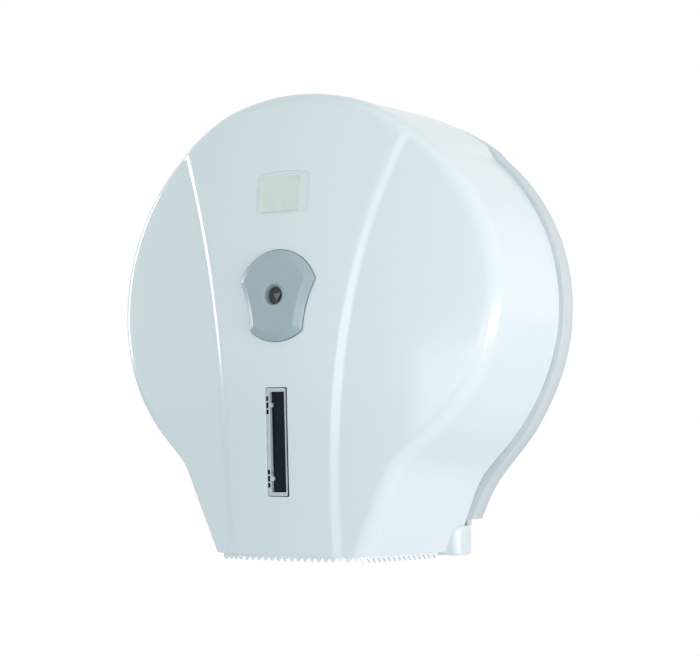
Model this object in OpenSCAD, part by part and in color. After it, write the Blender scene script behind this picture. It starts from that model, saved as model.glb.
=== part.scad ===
// Jumbo toilet roll dispenser for a wall, with a hinged drum cover, a spindle hub and a quarter-turn lock.
// Millimetres. The origin is on the wall plane at the spindle's axis. +X is to the right seen from the front,
// the front faces -Y and +Z is up.

/* [Cover] */
// Half width of the cover at its rear edge
cover_rear_w = 132.5; // [125:0.5:145]
// Height of the cover's drum over the spindle's axis at its rear edge
cover_rear_h = 119.5; // [112:0.5:130]
// Depth of the drum under the spindle's axis at its rear edge
cover_rear_low = 121.5; // [112:0.5:130]
// Half width of the cover's walls at the front reference depth
cover_front_w = 124; // [112:0.5:130]
// Height of the cover's walls over the spindle's axis at the front reference depth
cover_front_h = 118; // [108:0.5:122]
// Depth of the drum under the spindle's axis at the front reference depth
cover_front_low = 108.5; // [106:0.5:118]
// Depth of the cover's face at its highest point
face_d = 105; // [100:0.5:115]
// Height of the face's highest point over the spindle's axis
face_peak_z = -32; // [-50:1:0]
// Radius of the face's bow from top to bottom
bow_r_v = 919; // [600:1:2000]
// Radius of the face's bow from side to side
bow_r_h = 350; // [280:1:800]
// Thickness of the cover's wall
wall = 2.6; // [2:0.1:3]
// Length that the rounded front edge takes from the face and from the wall
edge_round = 7.5; // [5:0.5:9]

/* [Neck] */
// Depth of the cover's bottom edge under the spindle's axis
neck_drop = 142; // [136:0.5:150]
// Half width of the neck at the bottom of the rear edge
neck_rear_w = 66.5; // [66:0.5:71]
// Half width of the neck at the bottom of the front edge
neck_front_w = 50.5; // [50:0.5:58]
// Widening of the neck's rear edge per millimetre of height
neck_rear_flare = 0.38; // [0.2:0.01:0.42]
// Widening of the neck's front edge per millimetre of height
neck_front_flare = 0.44; // [0.2:0.01:0.48]

/* [Hood] */
// Height of the raised panel over the cheeks
panel_raise = 1.8; // [0.8:0.1:3]
// Half width of the raised panel at the bottom
crease_base = 34.5; // [28:0.5:40]
// How much wider the panel is where it meets the hood's corners
crease_flare = 38.5; // [25:0.5:42]
// Power of the panel's flare
crease_power = 2.7; // [2:0.1:4]
// Width of the slope between panel and cheek
crease_w = 6; // [4:0.5:10]
// Height of the hood over the drum at the front
hood_front = 2; // [1:0.1:6]
// Height of the hood over the drum at the rear edge
hood_rear = 3.3; // [1:0.1:5]
// Width over which the hood fades out at the front
hood_front_fade = 42; // [20:1:50]
// Width over which the hood fades out at the rear edge
hood_rear_fade = 12.5; // [8:0.5:30]
// Angle by which the hood reaches further round at the rear edge
hood_reach = 7; // [0:0.5:10]

/* [Back plate] */
// Half width of the back plate
plate_w = 135; // [134:0.5:150]
// Height of the back plate's drum over the spindle's axis
plate_h = 121; // [120.5:0.5:135]
// Depth of the back plate's drum under the spindle's axis
plate_low = 123; // [120.5:0.5:135]
// Height of the hood over the drum on the plate
plate_hood = 1.2; // [0.5:0.1:3]
// Width over which the plate's hood fades out
plate_hood_fade = 10; // [8:0.5:30]
// Half width that the plate's sides run down to
plate_neck_w = 68.5; // [66:0.5:72]
// Widening of the plate's sides per millimetre of height
plate_neck_flare = 0.45; // [0.42:0.01:0.6]
// Depth of the plate's rim
rim_d = 14; // [10:0.5:14]
// Thickness of the plate's rim
rim_t = 3; // [2:0.1:4]
// How far the rim reaches in behind the cover's rear edge
rim_lap = 1.6; // [1:0.1:2.4]
// Thickness of the plate's floor
floor_t = 3; // [2.5:0.1:4]
// Half width of the tongue between the hinge lugs
tongue_w = 54; // [52:0.5:56]
// Height of the rim's lower end over the cover's bottom edge
rim_end = 18.5; // [18.5:0.5:26]
// Half width of the step under the rim's lower ends
step_w = 70; // [66:0.5:72]
// Height of the step
step_h = 4; // [2:0.5:4]
// Height of the stiffening ribs over the floor
rib_h = 4; // [2:0.5:5]
// Thickness of the stiffening ribs
rib_t = 2; // [1.5:0.1:3]
// Gap between the plate's rim and the cover
seam = 0.4; // [0.3:0.1:0.8]

/* [Wall fixing] */
// Distance between the wall screws from side to side
wall_screw_x = 100; // [90:1:120]
// Distance between the wall screws from top to bottom
wall_screw_z = 100; // [90:1:120]
// Radius of the wall screw holes
wall_screw_r = 2.75; // [2.25:0.05:3.25]
// Radius of the boss round each wall screw hole
wall_boss_r = 8; // [6:0.5:10]
// Height of the boss over the floor
wall_boss_h = 2; // [1:0.5:3]

/* [Hinge] */
// Distance of the hinge axis from the wall
hinge_y = 14; // [14:0.5:16]
// Height of the hinge axis over the cover's bottom edge
hinge_up = 7; // [6:0.5:7]
// Radius of the hinge pins
pin_r = 2.5; // [2:0.1:3]
// Width of each ear on the plate
ear_w = 9.5; // [7:0.5:12]
// Wall of the ear round the pin
ear_wall = 4; // [2.5:0.1:4.4]
// Distance of the lug's outer face from the middle
lug_outer = 73; // [72:0.5:76]
// Distance of the lug's rear face from the hinge axis
lug_back = 8; // [7:0.5:8]
// Distance of the lug's front face from the hinge axis
lug_front = 9.5; // [8:0.5:24]
// Height of the lug over the hinge axis
lug_up = 8; // [7:0.5:9]
// Depth of the lug under the hinge axis
lug_down = 9; // [8:0.5:9]
// Radius of the lug's upper front corner
lug_round = 5; // [3:0.5:6]
// Radius of the lug's rear corners, which pass the plate's rim
lug_heel = 2.5; // [2:0.5:6]
// Free space between the lug's heel and the step under the rim
heel_gap = 0.7; // [0.4:0.1:1.2]
// Plastic left outside the blind pin bore
lug_skin = 3; // [2:0.5:4]
// Side gap between lug and ear
hinge_side_gap = 0.6; // [0.3:0.1:1]
// Radial running clearance of pins, hub and lock plug
run_fit = 0.07; // [0.03:0.01:0.1]
// Radial clearance of pieces that are pushed together
seat_fit = 0.05; // [0.02:0.01:0.1]

/* [Spindle and hub] */
// Radius of the spindle post
post_r = 15; // [13:0.5:16]
// Wall of the hollow post
post_wall = 3.5; // [2.5:0.1:5]
// Length of the post in front of its retaining ring
post_tip = 4; // [3:0.5:6]
// Radius of the post's flange and of the boss under it
post_flange_r = 30; // [26:0.5:34]
// Thickness of the post's flange
post_flange_t = 4; // [3:0.5:5]
// Height of the boss under the flange, from the wall
post_boss_d = 5; // [5:0.5:6]
// Radius of the circle of the post's screws
post_screw_circle = 23; // [21:0.5:24]
// Radius of the post screws' shanks
post_screw_r = 1.75; // [1.5:0.05:2]
// Thickness of the thrust washer
washer_t = 1; // [0.5:0.1:2]
// Outer radius of the thrust washer
washer_r = 24; // [20:0.5:28]
// End play on each side of the hub
end_play = 0.2; // [0.1:0.05:0.4]
// Outer radius of the hub's sleeve
hub_sleeve_r = 18; // [17.5:0.5:20]
// Radius of the hub over its fins
hub_fin_r = 27; // [23:0.5:28]
// Thickness of each fin
hub_fin_t = 2.4; // [1.5:0.1:4]
// Number of fins
hub_fins = 6; // [4:1:8]
// Radius of the hub's rear flange
hub_flange_r = 36; // [30:0.5:40]
// Thickness of the hub's rear flange
hub_flange_t = 2.1; // [1.5:0.1:3]
// Length of the slope at the front of the fins
hub_lead = 5; // [3:0.5:8]
// Thickness of the retaining ring
retainer_t = 1.8; // [1:0.1:2.4]
// Outer radius of the retaining ring
retainer_r = 20; // [19:0.5:22]
// Depth of the ring's groove in the post
groove_d = 1; // [0.6:0.1:1.4]
// Opening of the retaining ring
retainer_gap = 10; // [6:1:16]

/* [Lock] */
// Height of the lock's axis over the spindle's axis
lock_z = 2.8; // [2:0.1:5]
// Radius of the shield's round ends
shield_r = 25.8; // [25.5:0.1:28]
// Radius of the shield's hollow sides
shield_side_r = 75; // [50:1:120]
// Half width of the shield at its upper corners
shield_top_w = 24.3; // [23:0.1:25.4]
// Half width of the shield at its lower corners
shield_low_w = 16.6; // [14:0.1:20]
// Gap round the shield in its seat
shield_gap = 0.45; // [0.2:0.05:0.6]
// Depth of the shield's seat in the cover
shield_seat = 1.1; // [0.8:0.1:1.3]
// Thickness of the shield
shield_t = 4.6; // [3.6:0.1:5.5]
// Width of the shield's bevel
shield_bevel = 2; // [1:0.1:2.4]
// Radius of the lock plug
plug_r = 5.8; // [5.4:0.05:6]
// Radius of the plug's collar
plug_collar_r = 7; // [6.8:0.05:7.5]
// Radius of the well in the plug's face
well_r = 5.1; // [4:0.1:5.1]
// Depth of the well
well_d = 8; // [4:0.5:10]
// Circle radius of the three-sided drive in the well
drive_r = 2.9; // [2:0.1:3.4]
// Depth of the drive's tip under the plug's face
drive_sink = 3; // [1:0.5:3.5]
// Thickness of the cover between the shield's seat and the lock housing
lock_pad_t = 3.8; // [3.4:0.1:5]
// Radius of the pad behind the face that the lock housing sits on
lock_pad_r = 18; // [17:0.5:21]
// Thickness of the housing's flange
housing_flange_t = 2.5; // [2:0.1:3]
// Radius of the housing's barrel
barrel_r = 8.5; // [7.5:0.1:9]
// Length of the housing's barrel with its flange
barrel_l = 9.2; // [8.5:0.1:10]
// Distance of each housing screw from the lock's axis
housing_screw_x = 13; // [12.5:0.5:14]
// Radius of the housing's round ears
housing_ear_r = 4.5; // [4:0.1:5]
// Radius of the housing screws' shanks
housing_screw_r = 1.4; // [1.2:0.05:1.6]
// Radius of the housing screws' heads
housing_head_r = 2.7; // [2.2:0.1:3.2]
// Thickness of the housing screws' heads
housing_head_t = 1.5; // [1:0.1:2]
// Depth that the housing screws reach into the shield
housing_grip = 2.6; // [2:0.1:3]
// Thickness of the spring washer
spring_washer_t = 0.6; // [0.4:0.1:0.8]
// Thickness of the cam
cam_t = 2.2; // [1.8:0.1:2.4]
// Reach of the cam from the lock's axis
cam_reach = 16; // [14:0.5:16.5]
// Width of the cam's paddle
cam_w = 7; // [5:0.5:8]
// Radius of the cam's disc
cam_disc_r = 6.2; // [5.5:0.1:7]
// Width of the plug's square shank
shank_w = 6; // [4.5:0.1:6.4]
// Radius of the cam screw's shank
cam_screw_r = 1.25; // [1:0.05:1.5]
// Length of the cam screw's shank
cam_screw_l = 5.5; // [4:0.5:7]
// Radius of the cam screw's head
cam_head_r = 3.8; // [3:0.1:4.4]
// Thickness of the cam screw's head
cam_head_t = 1.4; // [1:0.1:1.8]
// Free gap between the cam screw's head and the keeper
cam_clear = 0.9; // [0.5:0.1:2]
// Thickness of the keeper's metal
keeper_t = 2; // [1.5:0.1:2.2]
// Width of the keeper
keeper_w = 18; // [14:1:20]
// Free gap between the cam and the keeper's lip
keeper_gap = 0.5; // [0.3:0.1:0.6]
// Gap between the barrel and the lip
lip_gap = 1.2; // [0.8:0.1:2]

/* [Window] */
// Half width of the window
window_w = 7; // [5:0.1:9]
// Height of the window
window_h = 61; // [50:1:70]
// Height of the window's middle under the spindle's axis
window_drop = 79; // [70:0.5:84]
// Depth of the window's frame behind the face
window_frame_d = 3.4; // [3.2:0.1:6]
// Thickness of the window's frame
window_frame_t = 2; // [1.5:0.1:3]
// Thickness of the lens
lens_t = 1.6; // [1.2:0.1:2.4]
// Length of each snap clip on the lens
clip_w = 10; // [4:0.5:12]
// Distance of each clip's middle from the window's nearer end
clip_end = 10; // [8:0.5:14]
// Height of the badge plate's middle over the spindle's axis
badge_z = 60.8; // [56:0.1:66]
// Place of the badge plate's middle to the right of the cover's middle
badge_x = -0.9; // [-1.5:0.1:1.5]
// Half width of the badge plate
badge_w = 13.2; // [10:0.1:14.8]
// Half height of the badge plate
badge_h = 10; // [8:0.5:11]
// Thickness of the badge plate
badge_t = 0.9; // [0.6:0.1:1]
// Depth of the badge's recess
recess_d = 1.1; // [0.8:0.1:1.2]
// Place of the recess's middle to the right of the cover's middle
recess_x = 0.7; // [-0.5:0.1:1]
// Half width of the recess
recess_w = 17.4; // [17.1:0.1:19]
// Margin of the recess over the badge plate
recess_margin = 3.4; // [1.4:0.1:4.2]
// Margin of the recess under the badge plate
recess_foot = 1.5; // [0.8:0.1:2.4]

/* [Tear strip] */
// Thickness of the tear strip
strip_t = 1.5; // [1:0.1:2]
// Height of the strip over the cover's bottom edge
strip_up = 8; // [6:0.5:12]
// Gap between the strip and the cover's wall
strip_gap = 0.2; // [0.1:0.05:0.4]
// Length of the teeth under the cover's bottom edge
tooth_l = 3.6; // [2:0.1:5]
// Pitch of the teeth
tooth_p = 4.3; // [4:0.1:8]
// Gap between the strip's rear ends and the hinge lugs
strip_lug_gap = 2.5; // [1:0.5:20]
// Radius of the heat-staked pegs
peg_r = 1.5; // [1:0.1:2]
// Distance of the side pegs from the strip's ends and from the corners
peg_end = 10; // [5:0.5:14]

/* [Hidden] */

white = "#dfe7ea";
plate_grey = "#d3dce0";
lock_grey = "#9fb1b7";
steel = "#b9bec2";

neck_z = -neck_drop;
rear_y = rim_d + seam;             // depth of the cover's rear edge
ref_y = 85;                        // depth at which the front widths are given
round_w = 0.78;                    // weight of the rounded edge's middle point
crease_top = 233;                  // height over the bottom edge where the creases meet the hood's corners
neck_limit = 70;                   // the neck's flare ends at this height over the bottom edge
neck_blend_z = -10;                // over this height the outline is the drum alone
neck_power = 16;                   // sharpness of the blend between drum and neck
plate_power = 12;
plate_steps = 64;                  // stations on each half of the plate's outline
rib_clear = 1;                     // gap between the ribs and the post's flange
arc_share = 0.62;                  // share of the stations on the drum's arc
arc_end = -20;                     // angle where the stations change from angle to height

hinge_z = neck_z + hinge_up;
lug_inner = tongue_w + hinge_side_gap;
wall_screws = [for (sx = [-1, 1], sz = [-1, 1]) [sx * wall_screw_x / 2, sz * wall_screw_z / 2]];

// the lock stands behind the face; the keeper, the post's end and the hub's length follow it
lay = 0.1;                         // gap between pieces that lie on each other
shield_floor_y = face_depth(0, lock_z) - shield_seat;
housing_front = shield_floor_y - lock_pad_t;
barrel_end = housing_front - barrel_l;
plug_rear_y = barrel_end - lay;
cam_front_y = barrel_end - spring_washer_t - lay;
cam_rear_y = cam_front_y - cam_t;
post_end = cam_rear_y - cam_head_t - cam_clear - keeper_t;

post_flange_y = post_boss_d + post_flange_t;
washer_y = post_flange_y + lay;
hub_rear_y = washer_y + washer_t + end_play;
retainer_y = post_end - post_tip - retainer_t;
hub_front_y = retainer_y - end_play;
post_screw_head_r = 3.4;
post_screw_head_t = 1.9;
post_screws_at = [for (i = [0:3]) [post_screw_circle * cos(45 + 90 * i), post_screw_circle * sin(45 + 90 * i)]];

lip_rear_y = cam_front_y + keeper_gap;
lip_low_z = lock_z + barrel_r + lip_gap;
lip_top_z = lock_z + cam_reach + 1.5;
keeper_base_z = -12;
keeper_screw_x = 5;
keeper_screw_z = -7;
keeper_screw_r = 1.5;
keeper_head_r = 2.8;
keeper_head_t = 1.5;

// ---- outlines -----------------------------------------------------------------------------------

// A ring is the outline of a drum with a neck, at one depth: [half width, height, depth under the axis,
// neck, flare, power, hood, width over which the hood fades out, angle that the hood reaches further round]

// half width at height z
function half_w(z, ring) =
    let (h = z < 0 ? ring[2] : ring[1],
         e = ring[0] * sqrt(max(0, 1 - pow(z / h, 2))),
         neck = ring[3] + ring[4] * min(z - neck_z, neck_limit))
    z < neck_blend_z ? pow(pow(max(e, 0.001), ring[5]) + pow(neck, ring[5]), 1 / ring[5]) : e;

// point of the right-hand outline, s runs from 0 at the top to 1 at the bottom edge
function ring_point(s, ring) =
    let (t = 90 - (90 - arc_end) * min(s, arc_share) / arc_share,
         z1 = ring[2] * sin(arc_end),
         z = s < arc_share ? (t < 0 ? ring[2] : ring[1]) * sin(t)
             : z1 + (neck_z - z1) * (s - arc_share) / (1 - arc_share))
    [z < neck_blend_z ? half_w(z, ring) : ring[0] * cos(t), z];

// 1 on the raised panel, 0 on the cheeks, with a smooth slope between them
function panel(x, z) =
    let (u = min(1, max(0, (crease_x(z) - abs(x)) / crease_w + 0.5)))
    u * u * (3 - 2 * u);

// half width of the raised panel at height z
function crease_x(z) = crease_base + crease_flare * pow(max(0, z - neck_z) / crease_top, crease_power);

// depth of the cover's outer face
function face_depth(x, z) =
    face_d - pow(z - face_peak_z, 2) / (2 * bow_r_v) - x * x / (2 * bow_r_h) - panel_raise * (1 - panel(x, z));

rear_ring = [cover_rear_w, cover_rear_h, cover_rear_low, neck_rear_w, neck_rear_flare, neck_power,
             hood_rear, hood_rear_fade, hood_reach];
front_ring = [cover_front_w, cover_front_h, cover_front_low, neck_front_w, neck_front_flare, neck_power,
              hood_front, hood_front_fade, 0];
plate_ring = [plate_w, plate_h, plate_low, plate_neck_w, plate_neck_flare, plate_power,
              plate_hood, plate_hood_fade, hood_reach];

function inset_ring(ring, d) = [for (i = [0:len(ring) - 1]) i < 4 ? ring[i] - d : ring[i]];

// how far a ring is lifted by the hood at station s: the hood fades out inwards from the crease
function hood_share(s, ring) =
    let (back = ring[8] / (90 - arc_end) * arc_share,
         p = ring_point(max(0, s - back), front_ring),
         u = min(1, max(0, (crease_x(p[1]) + crease_w / 2 - p[0]) / ring[7])))
    u * u * (3 - 2 * u);

// outline point with the hood added along the drum's normal
function hooded_point(s, ring) =
    let (p = ring_point(s, ring), nx = p[0] / pow(ring[0], 2), nz = p[1] / pow(ring[1], 2),
         n = norm([nx, nz]), h = ring[6] * hood_share(s, ring))
    p + h * [nx, nz] / max(n, 1e-9);

// stations of one half: the hood, its corners at the front and at the rear, the cheek and the neck
station_runs = [[0, 0.1, 5], [0.1, 0.215, 8], [0.215, 0.255, 5], [0.255, arc_share, 8], [arc_share, 1, 10]];
stations = concat([for (r = station_runs, i = [0:r[2] - 1]) r[0] + (r[1] - r[0]) * i / r[2]], [1]);
last = len(stations) - 1;

// ---- the cover's skin ---------------------------------------------------------------------------

// depth where the wall line from rear point r to front point f meets the face
function edge_depth(r, f, d, y, n) =
    n == 0 ? y :
    let (g = (y - rear_y) / (ref_y - rear_y), p = r + (f - r) * g)
    edge_depth(r, f, d, face_depth(p[0], p[1]) - d, n - 1);

fillet_steps = 4;
wall_steps = 3;
// points from the middle line over the face, round the edge and along the wall to the rear edge
function profile(s, d) =
    let (r = hooded_point(s, inset_ring(rear_ring, d)),
         f = hooded_point(s, inset_ring(front_ring, d)),
         ye = edge_depth(r, f, d, ref_y, 9),
         g = (ye - rear_y) / (ref_y - rear_y),
         e = r + (f - r) * g,
         anchor = e[1] > 0 ? e[1] * 0.75 : e[1],
         wall_l = norm([e[0] - r[0], ye - rear_y, e[1] - r[1]]),
         back = min(0.9, edge_round / wall_l),
         p2 = [e[0] + (r[0] - e[0]) * back, -(ye + (rear_y - ye) * back), e[1] + (r[1] - e[1]) * back],
         reach = norm([e[0], e[1] - anchor]),
         q1 = 1 - edge_round / reach,
         x0 = e[0] * q1,
         z0 = anchor + (e[1] - anchor) * q1,
         cx = crease_x(z0),
         qa = min(0.86, (cx - crease_w / 2) / max(x0, 1)),
         qb = min(0.94, (cx + crease_w / 2) / max(x0, 1)),
         qs = [0, qa * 0.5, qa, (qa + qb) / 2, qb, qb + (1 - qb) * 0.5, 1],
         p1 = [e[0], -ye, e[1]],
         p0 = [x0, -(face_depth(x0, z0) - d), z0])
    concat(
        [for (q = qs) let (x = x0 * q, z = anchor + (z0 - anchor) * q) [x, -(face_depth(x, z) - d), z]],
        [for (i = [1:fillet_steps])
            let (u = i / fillet_steps, b0 = pow(1 - u, 2), b1 = 2 * u * (1 - u) * round_w, b2 = u * u)
            (b0 * p0 + b1 * p1 + b2 * p2) / (b0 + b1 + b2)],
        [for (i = [1:wall_steps]) let (u = i / wall_steps) p2 + ([r[0], -rear_y, r[1]] - p2) * u]);

profile_rows = 7 + fillet_steps + wall_steps;

// One skin's points: the middle line first, then every station from the left bottom over the top to
// the right bottom. The middle line belongs to both halves.
function skin_points(d) =
    let (half = [for (s = stations) profile(s, d)])
    concat([for (h = half) h[0]],
           [for (j = [-last:last]) for (i = [1:profile_rows - 1])
               let (p = half[abs(j)][i]) [(j < 0 ? -1 : j > 0 ? 1 : 0) * p[0], p[1], p[2]]]);

skin_count = last + 1 + (2 * last + 1) * (profile_rows - 1);
function vid(j, i) = i == 0 ? abs(j) : last + 1 + (j + last) * (profile_rows - 1) + i - 1;

function quad(a, b, c, d) = [[a, b, c], [a, c, d]];

module cover_skin() {
    outer = skin_points(0);
    inner = skin_points(wall);
    // the two halves mirror each other, also in how each cell is split
    cells = [for (j = [-last:last - 1]) for (i = [0:profile_rows - 2])
        each j < 0 ? quad(vid(j, i + 1), vid(j + 1, i + 1), vid(j + 1, i), vid(j, i))
                   : quad(vid(j, i), vid(j, i + 1), vid(j + 1, i + 1), vid(j + 1, i))];
    rim = [for (j = [-last:last - 1])
        each quad(vid(j, profile_rows - 1), vid(j, profile_rows - 1) + skin_count,
                  vid(j + 1, profile_rows - 1) + skin_count, vid(j + 1, profile_rows - 1))];
    foot_l = [for (i = [0:profile_rows - 2])
        each quad(vid(-last, i), vid(-last, i) + skin_count, vid(-last, i + 1) + skin_count, vid(-last, i + 1))];
    foot_r = [for (i = [0:profile_rows - 2])
        each quad(vid(last, i), vid(last, i + 1), vid(last, i + 1) + skin_count, vid(last, i) + skin_count)];
    inner_cells = [for (t = cells) [t[0] + skin_count, t[2] + skin_count, t[1] + skin_count]];
    polyhedron(concat(outer, inner), concat(cells, inner_cells, rim, foot_l, foot_r), convexity = 12);
}

// ---- small helpers ------------------------------------------------------------------------------

// cylinder along Y between two depths
module rod_y(r, y0, y1, x = 0, z = 0, fn = 48)
    translate([x, -min(y0, y1), z]) rotate([90, 0, 0]) cylinder(r = r, h = abs(y1 - y0), $fn = fn);

// straight prism along Y of a flat outline drawn in X and Z
module slab_y(y0, y1)
    translate([0, -min(y0, y1), 0]) rotate([90, 0, 0]) linear_extrude(height = abs(y1 - y0)) children();

// box from its low and high corners
module block(low, high) translate(low) cube(high - low);

module plate_outline(d) {
    ring = inset_ring(plate_ring, d);
    side = [for (i = [0:plate_steps])
        let (p = hooded_point(i / plate_steps, ring)) if (p[1] > neck_z + rim_end + d) p];
    foot = [half_w(neck_z + rim_end, ring), neck_z + rim_end + d];
    both_halves(concat(side, [foot]));
}

// outline of the cover's rear edge, shrunk by d
module cover_outline(d) {
    ring = inset_ring(rear_ring, d);
    both_halves([for (i = [0:plate_steps]) hooded_point(i / plate_steps, ring)]);
}

// closed outline from the points of its right half, which starts on the middle line
module both_halves(right)
    polygon(concat(right, [for (i = [len(right) - 1:-1:1]) [-right[i][0], right[i][1]]]));

// ---- base ---------------------------------------------------------------------------------------

module back_plate() color(plate_grey) difference() {
    union() {
        slab_y(0, floor_t) plate_outline(0);
        difference() {
            slab_y(0, rim_d) plate_outline(0);
            // the rim is thicker where the cover's rear edge lies further in
            slab_y(floor_t, rim_d + 1) intersection() {
                plate_outline(rim_t);
                cover_outline(rim_lap);
            }
            // the rim is open over the tongue, where the paper comes down
            block([-tongue_w, -rim_d - 1, neck_z - 1], [tongue_w, -floor_t, neck_z + rim_end + rim_t + 1]);
        }
        block([-tongue_w, -floor_t, neck_z + 0.5], [tongue_w, 0, neck_z + rim_end + 4]);
        for (sx = [-1, 1]) rim_step(sx);
        rod_y(post_flange_r + 3, 0, post_boss_d, fn = 96);
        for (p = wall_screws) rod_y(wall_boss_r, 0, floor_t + wall_boss_h, p[0], p[1]);
        ribs();
        for (sx = [-1, 1]) ear(sx);
    }
    for (p = wall_screws) rod_y(wall_screw_r, -1, floor_t + wall_boss_h + 1, p[0], p[1]);
    // the ribs end round the post's flange
    rod_y(post_flange_r + rib_clear, post_boss_d, floor_t + rib_h + 1, fn = 96);
    for (p = post_screws_at) {
        rod_y(post_screw_r + seat_fit, -1, post_boss_d + 1, p[0], p[1]);
        rod_y(post_screw_head_r + 0.2, -1, post_screw_head_t + 0.4, p[0], p[1]);
    }
    for (sx = [-1, 1]) hinge_bore(sx * (tongue_w - ear_w - 1), sx * (tongue_w + 1), pin_r + seat_fit);
}

// step under the rim's lower end, as deep as the swing of the lug's heel leaves room for
heel_r = norm([lug_back - lug_heel, lug_up - lug_heel]) + lug_heel;
step_z = neck_z + rim_end - step_h;
step_d = hinge_y - sqrt(max(0, pow(heel_r + heel_gap, 2) - pow(step_z - hinge_z, 2)));
module rim_step(sx) {
    x = [sx * (tongue_w - 1), sx * step_w];
    block([min(x), -step_d, step_z], [max(x), 0, neck_z + rim_end + 1]);
}

module ribs() intersection() {
    slab_y(0, floor_t + rib_h) plate_outline(rim_t / 2);
    for (a = [0, 90, 150, 30])
        rotate([0, -a, 0]) block([-plate_w, -floor_t - rib_h, -rib_t / 2], [plate_w, -1, rib_t / 2]);
}

module ear(sx) {
    x0 = sx > 0 ? tongue_w - ear_w : -tongue_w;
    block([x0, -hinge_y, hinge_z - pin_r - ear_wall], [x0 + ear_w, -1, hinge_z + pin_r + ear_wall]);
    translate([x0, -hinge_y, hinge_z]) rotate([0, 90, 0]) cylinder(r = pin_r + ear_wall, h = ear_w, $fn = 48);
}

module hinge_bore(xa, xb, r)
    translate([min(xa, xb), -hinge_y, hinge_z]) rotate([0, 90, 0]) cylinder(r = r, h = abs(xb - xa), $fn = 48);

module hinge_pins() color(steel) for (sx = [-1, 1])
    hinge_bore(sx * (tongue_w - ear_w), sx * (lug_outer - lug_skin - 0.5), pin_r);

module spindle_post() color(white) difference() {
    union() {
        rod_y(post_flange_r, post_boss_d, post_flange_y, fn = 96);
        rod_y(post_r, post_boss_d, post_end, fn = 96);
    }
    rod_y(post_r - post_wall, post_boss_d - 1, post_end - 6, fn = 64);
    rotate([90, 0, 0]) translate([0, 0, retainer_y - 0.1]) difference() {
        cylinder(r = post_r + 1, h = retainer_t + 0.2, $fn = 96);
        translate([0, 0, -1]) cylinder(r = post_r - groove_d, h = retainer_t + 2.2, $fn = 96);
    }
    for (p = post_screws_at) rod_y(post_screw_r + seat_fit, post_boss_d - 1, post_flange_y - 0.5, p[0], p[1]);
    for (sx = [-1, 1])
        rod_y(keeper_screw_r + seat_fit, post_end - 5, post_end + 1, sx * keeper_screw_x, keeper_screw_z);
}

module post_screws() color(steel) for (p = post_screws_at) {
    rod_y(post_screw_head_r, 0.3, 0.3 + post_screw_head_t, p[0], p[1]);
    rod_y(post_screw_r, 0.3 + post_screw_head_t, post_flange_y - 0.8, p[0], p[1], 32);
}

module thrust_washer() color("#e9e6dc") difference() {
    rod_y(washer_r, washer_y, washer_y + washer_t, fn = 96);
    rod_y(post_r + 0.2, washer_y - 1, washer_y + washer_t + 1, fn = 96);
}

module hub_retainer() color(steel) difference() {
    rod_y(retainer_r, retainer_y, retainer_y + retainer_t, fn = 96);
    rod_y(post_r - groove_d + seat_fit, retainer_y - 1, retainer_y + retainer_t + 1, fn = 96);
    block([-retainer_gap / 2, -retainer_y - retainer_t - 1, -retainer_r - 1],
          [retainer_gap / 2, -retainer_y + 1, 0]);
}

module lock_keeper() color(steel) difference() {
    union() {
        block([-keeper_w / 2, -post_end - keeper_t, keeper_base_z],
              [keeper_w / 2, -post_end, lip_top_z + keeper_t]);
        block([-keeper_w / 2, -lip_rear_y - keeper_t, lip_top_z], [keeper_w / 2, -post_end, lip_top_z + keeper_t]);
        block([-keeper_w / 2, -lip_rear_y - keeper_t, lip_low_z], [keeper_w / 2, -lip_rear_y, lip_top_z + keeper_t]);
    }
    for (sx = [-1, 1])
        rod_y(keeper_screw_r + seat_fit, post_end - 1, post_end + keeper_t + 1, sx * keeper_screw_x, keeper_screw_z);
}

module keeper_screws() color(steel) for (sx = [-1, 1]) {
    rod_y(keeper_head_r, post_end + keeper_t, post_end + keeper_t + keeper_head_t, sx * keeper_screw_x,
          keeper_screw_z);
    rod_y(keeper_screw_r, post_end - 4.5, post_end + keeper_t, sx * keeper_screw_x, keeper_screw_z, 32);
}

// ---- hub ----------------------------------------------------------------------------------------

module roll_hub() color(white) difference() {
    union() {
        rod_y(hub_flange_r, hub_rear_y, hub_rear_y + hub_flange_t, fn = 96);
        rod_y(hub_sleeve_r, hub_rear_y, hub_front_y, fn = 96);
        intersection() {
            for (i = [0:hub_fins - 1])
                rotate([0, 360 / hub_fins * i, 0])
                    block([0, -hub_front_y + 1, -hub_fin_t / 2], [hub_fin_r + 1, -hub_rear_y, hub_fin_t / 2]);
            rotate([90, 0, 0]) rotate_extrude($fn = 96)
                polygon([[0, hub_rear_y], [hub_fin_r, hub_rear_y], [hub_fin_r, hub_front_y - hub_lead],
                         [hub_sleeve_r, hub_front_y], [0, hub_front_y]]);
        }
    }
    rod_y(post_r + run_fit, hub_rear_y - 1, hub_front_y + 1, fn = 96);
}

// ---- cover --------------------------------------------------------------------------------------

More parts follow.
